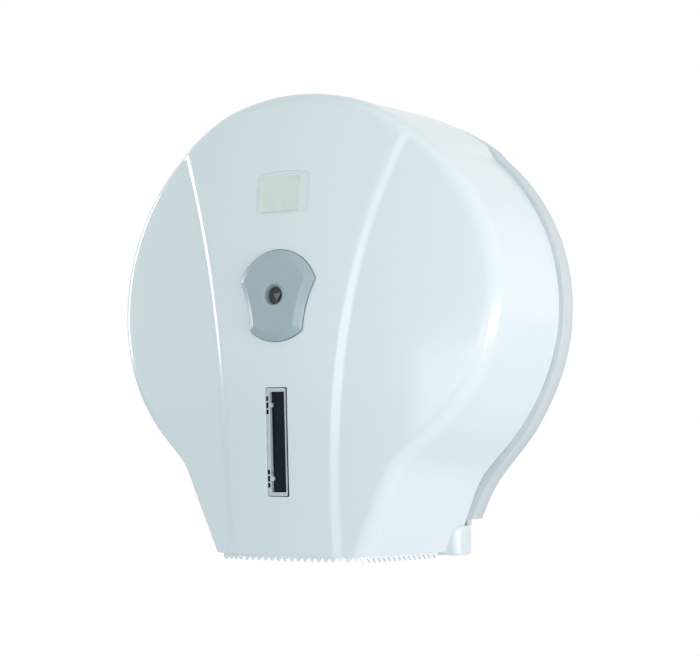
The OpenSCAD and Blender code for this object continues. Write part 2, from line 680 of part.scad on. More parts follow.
module front_cover() color(white) difference() {
    union() {
        cover_skin();
        for (sx = [-1, 1]) lug(sx);
        lock_pad();
        at_window() block([-window_w - window_frame_t, 1, -window_h / 2 - window_frame_t],
                          [window_w + window_frame_t, window_frame_d, window_h / 2 + window_frame_t]);
        badge_backing();
    }
    for (sx = [-1, 1]) hinge_bore(sx * (lug_inner - 1), sx * (lug_outer - lug_skin), pin_r + run_fit);
    at_window() block([-window_w, -3, -window_h / 2], [window_w, window_frame_d + 1, window_h / 2]);
    // seat of the lock plate, and the lock's bores
    at_shield() slab_y(0, shield_seat + 8) shield(shield_gap);
    rod_y(plug_collar_r + run_fit, housing_front - 1, shield_floor_y + 1, 0, lock_z, 64);
    for (sx = [-1, 1])
        rod_y(housing_screw_r + 0.3, housing_front - 1, shield_floor_y + 1, sx * housing_screw_x, lock_z);
    // recess of the badge plate
    at_badge() translate([recess_x, 0, 0]) intersection() {
        block([-recess_w, -5, -badge_h - recess_foot], [recess_w, recess_d, badge_h + recess_margin + 1]);
        translate([0, 10, badge_h + recess_margin - recess_arc_r]) rotate([90, 0, 0])
            cylinder(r = recess_arc_r, h = 20, $fn = 128);
    }
    for (p = peg_places) peg_hole(p);
}
recess_arc_r = 90;

module lock_pad() rod_y(lock_pad_r, housing_front, shield_floor_y, 0, lock_z, 96);

module lug(sx) {
    x0 = sx > 0 ? lug_inner : -lug_outer;
    w = lug_outer - lug_inner;
    y0 = -hinge_y - lug_front;
    y1 = -hinge_y + lug_back;
    z0 = hinge_z - lug_down;
    z1 = hinge_z + lug_up;
    block([x0, y0 + lug_round, z0], [x0 + w, y1 - lug_heel, z1]);
    block([x0, y0, z0], [x0 + w, y1 - lug_heel, z1 - lug_round]);
    block([x0, y0 + lug_round, z0 + lug_heel], [x0 + w, y1, z1 - lug_heel]);
    translate([x0, y0 + lug_round, z1 - lug_round]) rotate([0, 90, 0]) cylinder(r = lug_round, h = w, $fn = 48);
    for (z = [z0 + lug_heel, z1 - lug_heel])
        translate([x0, y1 - lug_heel, z]) rotate([0, 90, 0]) cylinder(r = lug_heel, h = w, $fn = 48);
}

// frame of the window: its local +Y runs into the cover from the face
window_tilt = atan((face_depth(0, -window_drop + window_h / 2) - face_depth(0, -window_drop - window_h / 2))
                   / window_h);
module at_window()
    translate([0, -face_depth(0, -window_drop), -window_drop]) rotate([window_tilt, 0, 0]) children();

badge_tilt = atan((face_depth(0, badge_z + badge_h) - face_depth(0, badge_z - badge_h)) / (2 * badge_h));
module at_badge() translate([0, -face_depth(0, badge_z), badge_z]) rotate([badge_tilt, 0, 0]) children();

// thicker wall behind the badge's recess
module badge_backing() at_badge() translate([recess_x, 0, 0])
    block([-recess_w - 1, 1.2, -badge_h - recess_foot - 1], [recess_w + 1, 3.2, badge_h + recess_margin + 1]);

// frame of the shield: its local -Y runs outwards from the seat's floor, tilted as the face is there
shield_tilt = atan((face_depth(0, lock_z + shield_r) - face_depth(0, lock_z - shield_r)) / (2 * shield_r));
module at_shield() translate([0, -shield_floor_y, lock_z]) rotate([shield_tilt, 0, 0]) children();

// outline of the shield, grown by g
module shield(g = 0) intersection() {
    circle(r = shield_r + g, $fn = 128);
    shield_sides(g);
}
// upper and lower corner heights over the lock's axis lie on the round ends
shield_top_h = sqrt(pow(shield_r, 2) - pow(shield_top_w, 2));
shield_low_h = -sqrt(pow(shield_r, 2) - pow(shield_low_w, 2));
module shield_sides(g) difference() {
    square([2 * shield_r + 4, 2 * shield_r + 4], center = true);
    for (sx = [-1, 1]) {
        a = [shield_top_w, shield_top_h];
        b = [shield_low_w, shield_low_h];
        m = (a + b) / 2;
        chord = norm(a - b);
        n = [a[1] - b[1], b[0] - a[0]] / chord;
        c = m + n * sqrt(pow(shield_side_r, 2) - pow(chord / 2, 2));
        translate([sx * c[0], c[1]]) circle(r = shield_side_r - g, $fn = 192);
    }
}

module lock_plate() color(lock_grey) difference() {
    at_shield() {
        steps = 4;
        bevel_y = lay + shield_t - shield_bevel;
        slab_y(lay, bevel_y) shield(0);
        for (i = [1:steps])
            slab_y(bevel_y, bevel_y + shield_bevel * i / steps)
                shield(-shield_bevel * (1 - cos(asin(i / steps))) - lay * i);
    }
    rod_y(plug_r + run_fit, shield_floor_y - 1, shield_floor_y + shield_t + 2, 0, lock_z, 64);
    for (sx = [-1, 1])
        rod_y(housing_screw_r + seat_fit, shield_floor_y - 1, shield_floor_y + housing_grip + 0.4,
              sx * housing_screw_x, lock_z);
}

module lock_housing() color("#c9ced1") difference() {
    union() {
        rod_y(barrel_r, barrel_end, housing_front, 0, lock_z, 64);
        slab_y(housing_front - housing_flange_t, housing_front) translate([0, lock_z]) {
            square([2 * housing_screw_x, 2 * barrel_r], center = true);
            for (sx = [-1, 1]) translate([sx * housing_screw_x, 0]) circle(r = housing_ear_r, $fn = 48);
        }
    }
    rod_y(plug_r + run_fit, barrel_end - 1, housing_front + 1, 0, lock_z, 64);
    for (sx = [-1, 1])
        rod_y(housing_screw_r + seat_fit, housing_front - housing_flange_t - 1, housing_front + 1,
              sx * housing_screw_x, lock_z);
}

module housing_screws() color(steel) for (sx = [-1, 1]) {
    rod_y(housing_head_r, housing_front - housing_flange_t - housing_head_t, housing_front - housing_flange_t,
          sx * housing_screw_x, lock_z);
    rod_y(housing_screw_r, housing_front - housing_flange_t, shield_floor_y + housing_grip,
          sx * housing_screw_x, lock_z, 32);
}

module lock_washer() color(steel) difference() {
    rod_y(barrel_r - 0.5, cam_front_y + lay / 2, barrel_end - lay / 2, 0, lock_z, 64);
    rod_y(plug_r + 0.15, cam_front_y - 1, barrel_end + 1, 0, lock_z, 64);
}

// ---- lock ---------------------------------------------------------------------------------------

plug_face_y = shield_floor_y + shield_t - 0.6;
// the collar's front lies clear of the tilted shield
collar_front = shield_floor_y - lay - plug_collar_r * tan(abs(shield_tilt));
module lock_core() color(lock_grey) difference() {
    union() {
        difference() {
            rod_y(plug_r, plug_rear_y, plug_face_y, 0, lock_z, 64);
            rod_y(well_r, plug_face_y - well_d, plug_face_y + 1, 0, lock_z, 64);
        }
        rod_y(plug_collar_r, housing_front + lay, collar_front, 0, lock_z, 64);
        translate([0, -plug_face_y + well_d, lock_z]) rotate([90, 90, 0])
            cylinder(r = drive_r, h = well_d - drive_sink, $fn = 3);
        block([-shank_w / 2, -plug_rear_y, lock_z - shank_w / 2],
              [shank_w / 2, -cam_rear_y - 2 * lay, lock_z + shank_w / 2]);
    }
    rod_y(cam_screw_r + seat_fit, cam_rear_y - 1, cam_rear_y + cam_screw_l + 0.5, 0, lock_z, 32);
}

module lock_cam() color(steel) difference() {
    union() {
        rod_y(cam_disc_r, cam_rear_y, cam_front_y, 0, lock_z, 64);
        block([-cam_reach + cam_w / 2, -cam_front_y, lock_z - cam_w / 2], [0, -cam_rear_y, lock_z + cam_w / 2]);
        rod_y(cam_w / 2, cam_rear_y, cam_front_y, -cam_reach + cam_w / 2, lock_z);
    }
    block([-shank_w / 2 - seat_fit, -cam_front_y - 1, lock_z - shank_w / 2 - seat_fit],
          [shank_w / 2 + seat_fit, -cam_rear_y + 1, lock_z + shank_w / 2 + seat_fit]);
}

module cam_screw() color(steel) {
    rod_y(cam_head_r, cam_rear_y - cam_head_t, cam_rear_y, 0, lock_z);
    rod_y(cam_screw_r, cam_rear_y, cam_rear_y + cam_screw_l, 0, lock_z, 32);
}

// ---- window, badge and tear strip ---------------------------------------------------------------

clip_z = window_h / 2 - clip_end;
clip_d = 2.6;                      // reach of the clips from the pane towards the face
module window_lens() color([0.1, 0.14, 0.18, 0.8]) at_window() {
    // the pane closes the frame from behind, and a step fills the frame's mouth
    block([-window_w - window_frame_t, window_frame_d, -window_h / 2 - window_frame_t],
          [window_w + window_frame_t, window_frame_d + lens_t, window_h / 2 + window_frame_t]);
    block([-window_w + 0.1, window_frame_d - 1, -window_h / 2 + 0.1],
          [window_w - 0.1, window_frame_d + 0.5, window_h / 2 - 0.1]);
    for (sx = [-1, 1], sz = [-1, 1])
        translate([sx * (window_w - 0.6), 0, sz * clip_z])
            block([-0.5, window_frame_d - clip_d, -clip_w / 2], [0.5, window_frame_d - 0.5, clip_w / 2]);
}

module badge_plate() color("#d6d8d3") at_badge() translate([badge_x, 0, 0])
    block([-badge_w, recess_d - badge_t, -badge_h], [badge_w, recess_d, badge_h]);

// distance of the strip's rear ends from the wall
strip_end = hinge_y + lug_front + strip_lug_gap;
// path of the strip along the foot of the cover's inner skin, from the right rear end to the middle
function foot_path(d) =
    let (p = profile(1, wall + strip_gap + d)) [for (i = [len(p) - 1:-1:0]) [p[i][0], p[i][1]]];
// the same path, cut off at the strip's rear end
function cut_path(path) =
    let (k = [for (i = [0:len(path) - 1]) if (path[i][1] < -strip_end) i][0],
         a = path[k - 1], b = path[k], u = (-strip_end - a[1]) / (b[1] - a[1]))
    concat([a + (b - a) * u], [for (i = [k:len(path) - 1]) path[i]]);
function mirrored(path) = concat(path, [for (i = [len(path) - 2:-1:0]) [-path[i][0], path[i][1]]]);

strip_outer = mirrored(cut_path(foot_path(0)));
strip_inner = mirrored(cut_path(foot_path(strip_t)));

// running length along a path
function lengths(path, i = 0, sum = 0) =
    i == len(path) - 1 ? [sum] : concat([sum], lengths(path, i + 1, sum + norm(path[i + 1] - path[i])));
strip_mid = [for (i = [0:len(strip_outer) - 1]) (strip_outer[i] + strip_inner[i]) / 2];
strip_run = lengths(strip_mid);
strip_len = strip_run[len(strip_run) - 1];
function at_run(l) =
    let (k = [for (i = [0:len(strip_run) - 2]) if (strip_run[i + 1] >= l) i][0],
         u = (l - strip_run[k]) / (strip_run[k + 1] - strip_run[k]),
         d = strip_mid[k + 1] - strip_mid[k])
    [strip_mid[k] + d * u, atan2(d[1], d[0])];

tooth_count = floor(strip_len / tooth_p);
tooth_root = 1;
module tear_strip() color("#e8eef0") difference() {
    union() {
        translate([0, 0, neck_z - tooth_root]) linear_extrude(height = strip_up + tooth_root)
            polygon(concat(strip_outer, [for (i = [len(strip_inner) - 1:-1:0]) strip_inner[i]]));
        for (i = [0:tooth_count - 1]) {
            p = at_run((i + 0.5) * strip_len / tooth_count);
            w = 0.47 * strip_len / tooth_count;
            translate([p[0][0], p[0][1], neck_z]) rotate([0, 0, p[1]]) rotate([90, 0, 0])
                linear_extrude(height = strip_t * 0.8, center = true)
                    polygon([[-w, -tooth_root + 0.2], [w, -tooth_root + 0.2], [0, -tooth_l]]);
        }
    }
    for (p = peg_places) peg_hole(p);
}

// running length from the strip's end to where it bends round the foot's corner
corner_run = strip_run[(len(strip_run) - 1) / 2 - (profile_rows - 1 - wall_steps)];
// pegs: [x, depth, angle of the peg's axis], two on each side and one in the middle of the front
peg_up = 4;
side_runs = [peg_end, corner_run - peg_end];
peg_runs = concat(side_runs, [strip_len / 2], [for (l = side_runs) strip_len - l]);
peg_places = [for (l = peg_runs) let (p = at_run(l)) [p[0][0], p[0][1], p[1]]];
module peg_hole(p) translate([p[0], p[1], neck_z + peg_up]) rotate([0, 0, p[2]]) rotate([-90, 0, 0])
    translate([0, 0, -4]) cylinder(r = peg_r + seat_fit, h = 4 + strip_t / 2 + 1.6, $fn = 32);
peg_head_t = 1.2;
// the heads lie a little clear of the strip, which bends under them
peg_head_gap = 0.15;
module strip_rivets() color(white) for (p = peg_places)
    translate([p[0], p[1], neck_z + peg_up]) rotate([0, 0, p[2]]) rotate([-90, 0, 0])
        translate([0, 0, -strip_t / 2 - peg_head_gap]) {
            translate([0, 0, -peg_head_t]) cylinder(r = peg_r + 1, h = peg_head_t, $fn = 32);
            cylinder(r = peg_r, h = peg_head_gap + strip_t + 1.4, $fn = 32);
        }

back_plate();
hinge_pins();
spindle_post();
post_screws();
thrust_washer();
hub_retainer();
lock_keeper();
keeper_screws();
roll_hub();
front_cover();
lock_plate();
lock_housing();
housing_screws();
lock_washer();
lock_core();
lock_cam();
cam_screw();
window_lens();
badge_plate();
tear_strip();
strip_rivets();
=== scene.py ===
import math

import bmesh
import bpy
import numpy as np
from mathutils import Matrix


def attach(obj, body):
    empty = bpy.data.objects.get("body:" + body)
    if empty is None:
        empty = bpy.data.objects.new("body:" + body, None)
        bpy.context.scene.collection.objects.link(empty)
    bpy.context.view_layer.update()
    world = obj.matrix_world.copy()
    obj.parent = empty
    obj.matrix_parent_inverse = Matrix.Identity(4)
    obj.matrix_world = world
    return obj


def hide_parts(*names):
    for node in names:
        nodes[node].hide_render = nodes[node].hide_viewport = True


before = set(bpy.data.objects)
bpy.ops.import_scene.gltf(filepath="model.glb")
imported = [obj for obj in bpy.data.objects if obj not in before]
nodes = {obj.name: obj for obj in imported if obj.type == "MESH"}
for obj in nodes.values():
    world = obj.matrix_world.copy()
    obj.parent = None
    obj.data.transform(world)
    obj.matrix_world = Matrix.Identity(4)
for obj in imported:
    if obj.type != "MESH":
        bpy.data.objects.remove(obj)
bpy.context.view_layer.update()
mm = 0.001  # shapes are worked out in millimetres and stored in metres
print("frame loaded:", len(nodes), "nodes")


# camera: it stands to the right of the object and a little below its middle, and looks slightly up

cameraView = {"distance": 1.0593, "side": 0.5059, "height": -0.0826, "pitch": 0.0693, "yaw": 0.0099,
              "focalPixels": 1736, "imageWidth": 700}


def placed(right, up, back, place):  # matrix whose columns are three directions and a place
    return Matrix([[right[i], up[i], back[i], place[i]] for i in range(3)] + [[0, 0, 0, 1]])


def makeCamera():
    v = cameraView
    turn = v["side"] + v["yaw"]
    level = math.cos(v["pitch"])
    back = (math.sin(turn) * level, -math.cos(turn) * level, -math.sin(v["pitch"]))
    right = (math.cos(turn), math.sin(turn), 0.0)
    up = np.cross(back, right)
    place = (v["distance"] * math.sin(v["side"]), -v["distance"] * math.cos(v["side"]), v["height"])
    data = bpy.data.cameras.new("camera")
    data.sensor_width = 36.0
    data.lens = v["focalPixels"] * data.sensor_width / v["imageWidth"]
    data.clip_start = 0.01
    camera = bpy.data.objects.new("camera", data)
    camera.matrix_world = placed(right, up, back, place)
    bpy.context.scene.collection.objects.link(camera)
    bpy.context.scene.camera = camera


makeCamera()
print("camera placed")


# shader expressions

class Wire:  # a node's output that takes arithmetic: every operator adds one Math node
    def __init__(self, tree, socket):
        self.tree = tree
        self.socket = socket

    def join(self, operation, first, second):
        made = self.tree.nodes.new("ShaderNodeMath")
        made.operation = operation
        for place, value in enumerate((first, second)):
            if isinstance(value, Wire):
                self.tree.links.new(value.socket, made.inputs[place])
            else:
                made.inputs[place].default_value = value
        return Wire(self.tree, made.outputs[0])

    def __add__(self, other):
        return self.join("ADD", self, other)

    def __radd__(self, other):
        return self.join("ADD", other, self)

    def __sub__(self, other):
        return self.join("SUBTRACT", self, other)

    def __rsub__(self, other):
        return self.join("SUBTRACT", other, self)

    def __mul__(self, other):
        return self.join("MULTIPLY", self, other)

    def __rmul__(self, other):
        return self.join("MULTIPLY", other, self)

    def atLeast(self, other):
        return self.join("MAXIMUM", self, other)


class Finish:  # one material and its node tree
    def __init__(self, name, target=None):
        self.target = target or bpy.data.materials.new(name)
        self.target.use_nodes = True
        self.tree = self.target.node_tree
        self.tree.nodes.clear()

    # any node: its type, its settings, which are set first, and values or wires for its sockets
    def add(self, kind, settings=None, sockets=None, output=0):
        made = self.tree.nodes.new(kind)
        for name, value in (settings or {}).items():
            if name == "stops":
                self.setStops(made.color_ramp, value)
            else:
                setattr(made, name, value)
        for name, value in (sockets or {}).items():
            if isinstance(value, Wire):
                self.tree.links.new(value.socket, made.inputs[name])
            else:
                made.inputs[name].default_value = value
        return Wire(self.tree, made.outputs[output]) if made.outputs else None

    def setStops(self, ramp, stops):
        while len(ramp.elements) < len(stops):
            ramp.elements.new(0.5)
        for element, (position, level) in zip(ramp.elements, stops):
            element.position = position
            element.color = (level, level, level, 1.0)

    def place(self):
        return self.add("ShaderNodeTexCoord", output=3)  # Object coordinates, in metres

    def noise(self, scale, detail=3.0, stretch=None):
        where = self.place()
        if stretch:
            where = self.add("ShaderNodeMapping", {}, {"Vector": where, "Scale": stretch})
        return self.add("ShaderNodeTexNoise", {}, {"Vector": where, "Scale": scale, "Detail": detail})

    # A + (B - A) * share, for two colours
    def blend(self, share, low, high):
        return self.add("ShaderNodeMix", {"data_type": "RGBA"}, {0: share, 6: low, 7: high}, output=2)

    def bump(self, height, distance, strength=1.0):
        return self.add("ShaderNodeBump", {}, {"Height": height, "Distance": distance, "Strength": strength})

    def principled(self, sockets):
        shader = self.add("ShaderNodeBsdfPrincipled", {}, sockets)
        self.add("ShaderNodeOutputMaterial", {}, {"Surface": shader})
        return self.target


def tone(red, green, blue):  # a colour as a picture shows it, turned into linear light
    def linear(c):
        return c / 12.92 if c <= 0.04045 else ((c + 0.055) / 1.055) ** 2.4
    return (linear(red / 255), linear(green / 255), linear(blue / 255), 1.0)


# moulded plastic: the colour drifts a little over broad patches, the gloss over fine ones, and the
# surface has the faint waves of a moulding and the grain of its tool
plasticLooks = {
    "coverPlastic": {"low": tone(222, 231, 234), "high": tone(226, 235, 238), "broad": 9.0, "rough": 0.2,
                     "roughSpread": 0.08, "grain": 900.0, "grainDepth": 0.000004, "wave": 26.0,
                     "waveDepth": 0.00009, "coat": 0.25},
    "platePlastic": {"low": tone(199, 208, 211), "high": tone(205, 214, 217), "broad": 12.0, "rough": 0.42,
                     "roughSpread": 0.12, "grain": 1400.0, "grainDepth": 0.00001, "wave": 20.0,
                     "waveDepth": 0.00005, "coat": 0.0},
    "whitePlastic": {"low": tone(226, 232, 235), "high": tone(231, 237, 240), "broad": 14.0, "rough": 0.36,
                     "roughSpread": 0.1, "grain": 1400.0, "grainDepth": 0.000008, "wave": 30.0,
                     "waveDepth": 0.00003, "coat": 0.0},
    "washerPlastic": {"low": tone(226, 221, 206), "high": tone(234, 229, 216), "broad": 40.0, "rough": 0.5,
                      "roughSpread": 0.1, "grain": 2000.0, "grainDepth": 0.000008, "wave": 60.0,
                      "waveDepth": 0.00001, "coat": 0.0},
    "lockPlastic": {"low": tone(160, 178, 184), "high": tone(167, 184, 190), "broad": 30.0, "rough": 0.3,
                    "roughSpread": 0.1, "grain": 2600.0, "grainDepth": 0.000006, "wave": 80.0,
                    "waveDepth": 0.00002, "coat": 0.1},
    "housingPlastic": {"low": tone(186, 194, 198), "high": tone(194, 202, 206), "broad": 50.0, "rough": 0.45,
                       "roughSpread": 0.1, "grain": 2000.0, "grainDepth": 0.00001, "wave": 80.0,
                       "waveDepth": 0.00001, "coat": 0.0},
    "badgePlastic": {"low": tone(216, 223, 216), "high": tone(224, 230, 224), "broad": 70.0, "rough": 0.28,
                     "roughSpread": 0.1, "grain": 3000.0, "grainDepth": 0.000003, "wave": 120.0,
                     "waveDepth": 0.00001, "coat": 0.1},
}


def plasticFinish(name):
    look = plasticLooks[name]
    finish = Finish(name)
    broad = finish.noise(look["broad"], 2.0)
    grain = finish.noise(look["grain"], 2.0)
    wave = finish.noise(look["wave"], 1.0)
    height = wave * look["waveDepth"] + grain * look["grainDepth"]
    spread = look["roughSpread"]
    return finish.principled({
        "Base Color": finish.blend(broad, look["low"], look["high"]),
        "Roughness": (grain - 0.5) * spread + (broad - 0.5) * spread + look["rough"],
        "Normal": finish.bump(height, 1.0, 0.6),
        "Coat Weight": look["coat"],
        "Coat Roughness": 0.08,
        "IOR": 1.49})


clearLooks = {
    "smokedLens": {"low": tone(12, 24, 34), "high": tone(20, 32, 43), "rough": 0.22, "pass": 0.1,
                   "gloss": 0.15},
    "clearRim": {"low": tone(222, 230, 235), "high": tone(236, 242, 245), "rough": 0.16, "pass": 0.35,
                 "gloss": 0.5},
    "stripPlastic": {"low": tone(240, 245, 248), "high": tone(248, 251, 253), "rough": 0.24, "pass": 0.1,
                     "gloss": 0.5},
}


def clearFinish(name):  # see-through plastic with fine scratches along its height
    look = clearLooks[name]
    finish = Finish(name)
    haze = finish.noise(60.0, 3.0)
    scratches = finish.noise(700.0, 2.0, (1.0, 1.0, 0.06))
    return finish.principled({
        "Base Color": finish.blend(haze, look["low"], look["high"]),
        "Roughness": (scratches - 0.5) * 0.08 + (haze - 0.5) * 0.08 + look["rough"],
        "Normal": finish.bump(scratches * 0.000004, 1.0, 0.5),
        "Transmission Weight": look["pass"],
        "Specular IOR Level": look["gloss"],
        "IOR": 1.49})


def steelFinish():  # zinc plated: cloudy crystals, drawn lines and a little wear
    finish = Finish("zincSteel")
    cloud = finish.noise(180.0, 4.0)
    drawn = finish.noise(900.0, 2.0, (1.0, 0.08, 1.0))
    return finish.principled({
        "Base Color": finish.blend(cloud, tone(176, 181, 184), tone(204, 208, 211)),
        "Metallic": 1.0,
        "Roughness": cloud * 0.16 + drawn * 0.12 + 0.2,
        "Normal": finish.bump(drawn * 0.00001 + cloud * 0.000006, 1.0, 0.6)})


# the plug's deep colour is painted shade: the well's colour turns from the face tone to near black with depth
plugLook = {"face": tone(140, 156, 161), "deep": tone(10, 14, 18), "faceDepth": 0.1072, "fade": 0.0034,
            "shadeStart": 0.0016}  # depths in metres, as Object coordinates are


# lock plug: grey at its face, and painted darker with depth in the well: painted shade for the dark of the
# deep hole
def plugFinish():
    look = plugLook
    finish = Finish("plugPlastic")
    placeY = finish.add("ShaderNodeSeparateXYZ", {}, {"Vector": finish.place()}, output=1)
    depth = placeY + look["faceDepth"]
    # painted shade: the share of the dark tone grows with depth below the plug's face
    share = finish.add("ShaderNodeClamp", {}, {"Value": (depth - look["shadeStart"]) * (1 / look["fade"])})
    grain = finish.noise(2600.0, 2.0)
    return finish.principled({
        "Base Color": finish.blend(share, look["face"], look["deep"]),
        "Roughness": grain * 0.12 + 0.3,
        "Normal": finish.bump(grain * 0.000008, 1.0, 0.6),
        "IOR": 1.49})


materials = {name: plasticFinish(name) for name in plasticLooks}
materials.update({name: clearFinish(name) for name in clearLooks})
materials["zincSteel"] = steelFinish()
materials["plugPlastic"] = plugFinish()
print("materials made:", len(materials))


# mesh helpers

# points in millimetres and faces as lists of indices become an object with even outward normals;
# edges sharper than the given angle stay crisp
def makePiece(name, points, faces, material, sharp=32.0):
    mesh = bpy.data.meshes.new(name)
    mesh.from_pydata((np.asarray(points, float).reshape(-1, 3) * mm).tolist(), [], faces)
    piece = bpy.data.objects.new(name, mesh)
    bpy.context.scene.collection.objects.link(piece)
    turnOutwards(mesh)
    mesh.materials.append(materials[material])
    shade(mesh, sharp)
    return piece


def turnOutwards(mesh):
    work = bmesh.new()
    work.from_mesh(mesh)
    bmesh.ops.remove_doubles(work, verts=work.verts, dist=0.0005 * mm)
    bmesh.ops.recalc_face_normals(work, faces=work.faces)
    work.to_mesh(mesh)
    work.free()


def shade(mesh, sharp):
    mesh.shade_smooth()
    mesh.set_sharp_from_angle(angle=math.radians(sharp))


# faces of a grid of points, row by row: each cell is one quad; either way may close on itself
def gridFaces(rows, columns, closedRows=False, closedColumns=False):
    index = np.arange(rows * columns).reshape(rows, columns)
    if closedRows:
        index = np.vstack([index, index[:1]])
    if closedColumns:
        index = np.hstack([index, index[:, :1]])
    cells = np.stack([index[:-1, :-1], index[:-1, 1:], index[1:, 1:], index[1:, :-1]], axis=-1)
    return cells.reshape(-1, 4).tolist()


# a stack of rings, shaped (rings, points, 3): a solid with flat ends, or a tube that closes on itself
def ringSolid(rings, hollow=False):
    count, around = rings.shape[:2]
    faces = gridFaces(count, around, closedRows=hollow, closedColumns=True)
    if not hollow:
        faces += [list(range(around)), list(range((count - 1) * around, count * around))]
    return rings.reshape(-1, 3), faces


def joinSolids(solids):
    points, faces, start = [], [], 0
    for somePoints, someFaces in solids:
        points.append(np.asarray(somePoints, float))
        faces += [[start + i for i in face] for face in someFaces]
        start += len(somePoints)
    return np.vstack(points), faces


# every inner corner b of an open line gets an arc: (1-u)^2 p + 2u(1-u) b + u^2 q, where p and q lie at
# the given distance from b; on a closed line every corner does
def easeLine(line, reach, closed=False, steps=3):
    line = np.asarray(line, float)
    before = np.roll(line, 1, axis=0)
    after = np.roll(line, -1, axis=0)
    eased = []
    for i, (a, b, c) in enumerate(zip(before, line, after)):
        if not closed and i in (0, len(line) - 1):
            eased.append(b[None])
            continue
        size = reach[i] if np.ndim(reach) else reach
        near = min(size, 0.45 * np.linalg.norm(a - b), 0.45 * np.linalg.norm(c - b))
        p = b + (a - b) / np.linalg.norm(a - b) * near
        q = b + (c - b) / np.linalg.norm(c - b) * near
        u = np.linspace(0, 1, steps + 1)[:, None]
        eased.append((1 - u) ** 2 * p + 2 * u * (1 - u) * b + u ** 2 * q)
    return np.vstack(eased)


# round rod along Y, between two depths: x = cx + r sin t, z = cz + r cos t
def rodY(radius, depth0, depth1, x, z, sides=64):
    t = np.linspace(0, 2 * np.pi, sides, endpoint=False)
    rings = [np.stack([x + radius * np.sin(t), np.full(sides, -depth), z + radius * np.cos(t)], axis=-1)
             for depth in (depth0, depth1)]
    return ringSolid(np.array(rings))


# round rod along X, between two places: y = cy + r cos t, z = cz + r sin t
def rodX(radius, x0, x1, y, z, sides=40):
    t = np.linspace(0, 2 * np.pi, sides, endpoint=False)
    rings = [np.stack([np.full(sides, x), y + radius * np.cos(t), z + radius * np.sin(t)], axis=-1)
             for x in (x0, x1)]
    return ringSolid(np.array(rings))


# outline of a rectangle, shrunk by d, with rounded corners: four quarter arcs
def roundedRectangle(halfWidth, halfHeight, radius, d=0.0, steps=6):
    r = max(radius - d, 0.05)
    arc = np.linspace(0, np.pi / 2, steps)
    corners = []
    for quarter, (sx, sz) in enumerate(((1, 1), (-1, 1), (-1, -1), (1, -1))):
        t = arc + quarter * np.pi / 2
        corners.append(np.stack([sx * (halfWidth - d - r) + r * np.cos(t),
                                 sz * (halfHeight - d - r) + r * np.sin(t)], axis=-1))
    return np.vstack(corners)


# rings of a plate: for each (shrink, depth) the outline at that shrink lies at that depth
def plateRings(outline, profile):
    rings = []
    for shrink, depth in profile:
        flat = outline(shrink)
        rings.append(np.stack([flat[:, 0], np.full(len(flat), -depth), flat[:, 1]], axis=-1))
    return np.array(rings)


def applied(piece):  # the piece's mesh with its modifiers built in
    shape = bpy.data.meshes.new_from_object(piece.evaluated_get(bpy.context.evaluated_depsgraph_get()))
    old = piece.data
    piece.modifiers.clear()
    piece.data = shape
    bpy.data.meshes.remove(old)
    return piece


def combine(piece, solids, operation):  # adds solids to a piece or cuts them out of it
    points, faces = joinSolids(solids)
    tool = makePiece("tool", points, faces, "whitePlastic")
    change = piece.modifiers.new(operation, "BOOLEAN")
    change.operation = operation
    change.solver = "EXACT"
    change.object = tool
    applied(piece)
    bpy.data.objects.remove(tool)
    return piece


def settle(piece, body, node):  # the piece rides on its body and stands for the CAD node
    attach(piece, body)
    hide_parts(node)
    return piece


# the cover's form: two rings, one at the rear edge and one at the front, each a drum with a neck under it,
# and a face that bows both ways with a raised panel in its middle
coverForm = {
    "rear": {"width": 132.5, "up": 119.5, "low": 121.5, "neck": 66.5, "flare": 0.38, "hood": 3.3,
             "fade": 12.5, "reach": 7.0},
    "front": {"width": 124.0, "up": 118.0, "low": 108.5, "neck": 50.5, "flare": 0.44, "hood": 2.0,
              "fade": 42.0, "reach": 0.0},
    "faceDepth": 105.0, "peakZ": -32.0, "bowDown": 919.0, "bowAcross": 350.0,
    "wall": 2.6, "edgeRound": 7.5, "edgeWeight": 0.78, "footZ": -142.0, "neckPower": 16.0,
    "raise": 1.8, "creaseBase": 34.5, "creaseFlare": 38.5, "creasePower": 2.7, "creaseWidth": 6.0,
    "creaseTop": 233.0, "neckLimit": 70.0, "blendZ": -10.0, "arcShare": 0.62, "arcEnd": -20.0,
    "rearDepth": 14.1, "frontDepth": 85.0, "rimEase": 0.25, "anchorShare": 0.75, "edgeLimit": 0.9,
    "panelLimit": 0.86, "creaseLimit": 0.94}


def coverRing(end, inset=0.0):  # one ring's sizes, with its outline shrunk by the inset
    ring = dict(coverForm[end])
    for size in ("width", "up", "low", "neck"):
        ring[size] -= inset
    return ring


def halfWidth(z, ring):  # the drum's ellipse, and under blendZ the power mean of ellipse and neck
    c = coverForm
    height = np.where(z < 0, ring["low"], ring["up"])
    ellipse = ring["width"] * np.sqrt(np.clip(1 - (z / height) ** 2, 0, None))
    neck = ring["neck"] + ring["flare"] * np.minimum(z - c["footZ"], c["neckLimit"])
    power = c["neckPower"]
    mean = (np.maximum(ellipse, 0.001) ** power + neck ** power) ** (1 / power)
    return np.where(z < c["blendZ"], mean, ellipse)


# station s runs from 0 at the top to 1 at the foot: angles on the drum first, then even heights
def ringPoint(s, ring):
    c = coverForm
    t = np.radians(90 - (90 - c["arcEnd"]) * np.minimum(s, c["arcShare"]) / c["arcShare"])
    lowest = ring["low"] * math.sin(math.radians(c["arcEnd"]))
    z = np.where(s < c["arcShare"], np.where(t < 0, ring["low"], ring["up"]) * np.sin(t),
                 lowest + (c["footZ"] - lowest) * (s - c["arcShare"]) / (1 - c["arcShare"]))
    return np.where(z < c["blendZ"], halfWidth(z, ring), ring["width"] * np.cos(t)), z


def creaseX(z):  # half width of the raised panel: base + flare * (height / top) ^ power
    c = coverForm
    height = np.maximum(0, z - c["footZ"]) / c["creaseTop"]
    return c["creaseBase"] + c["creaseFlare"] * height ** c["creasePower"]


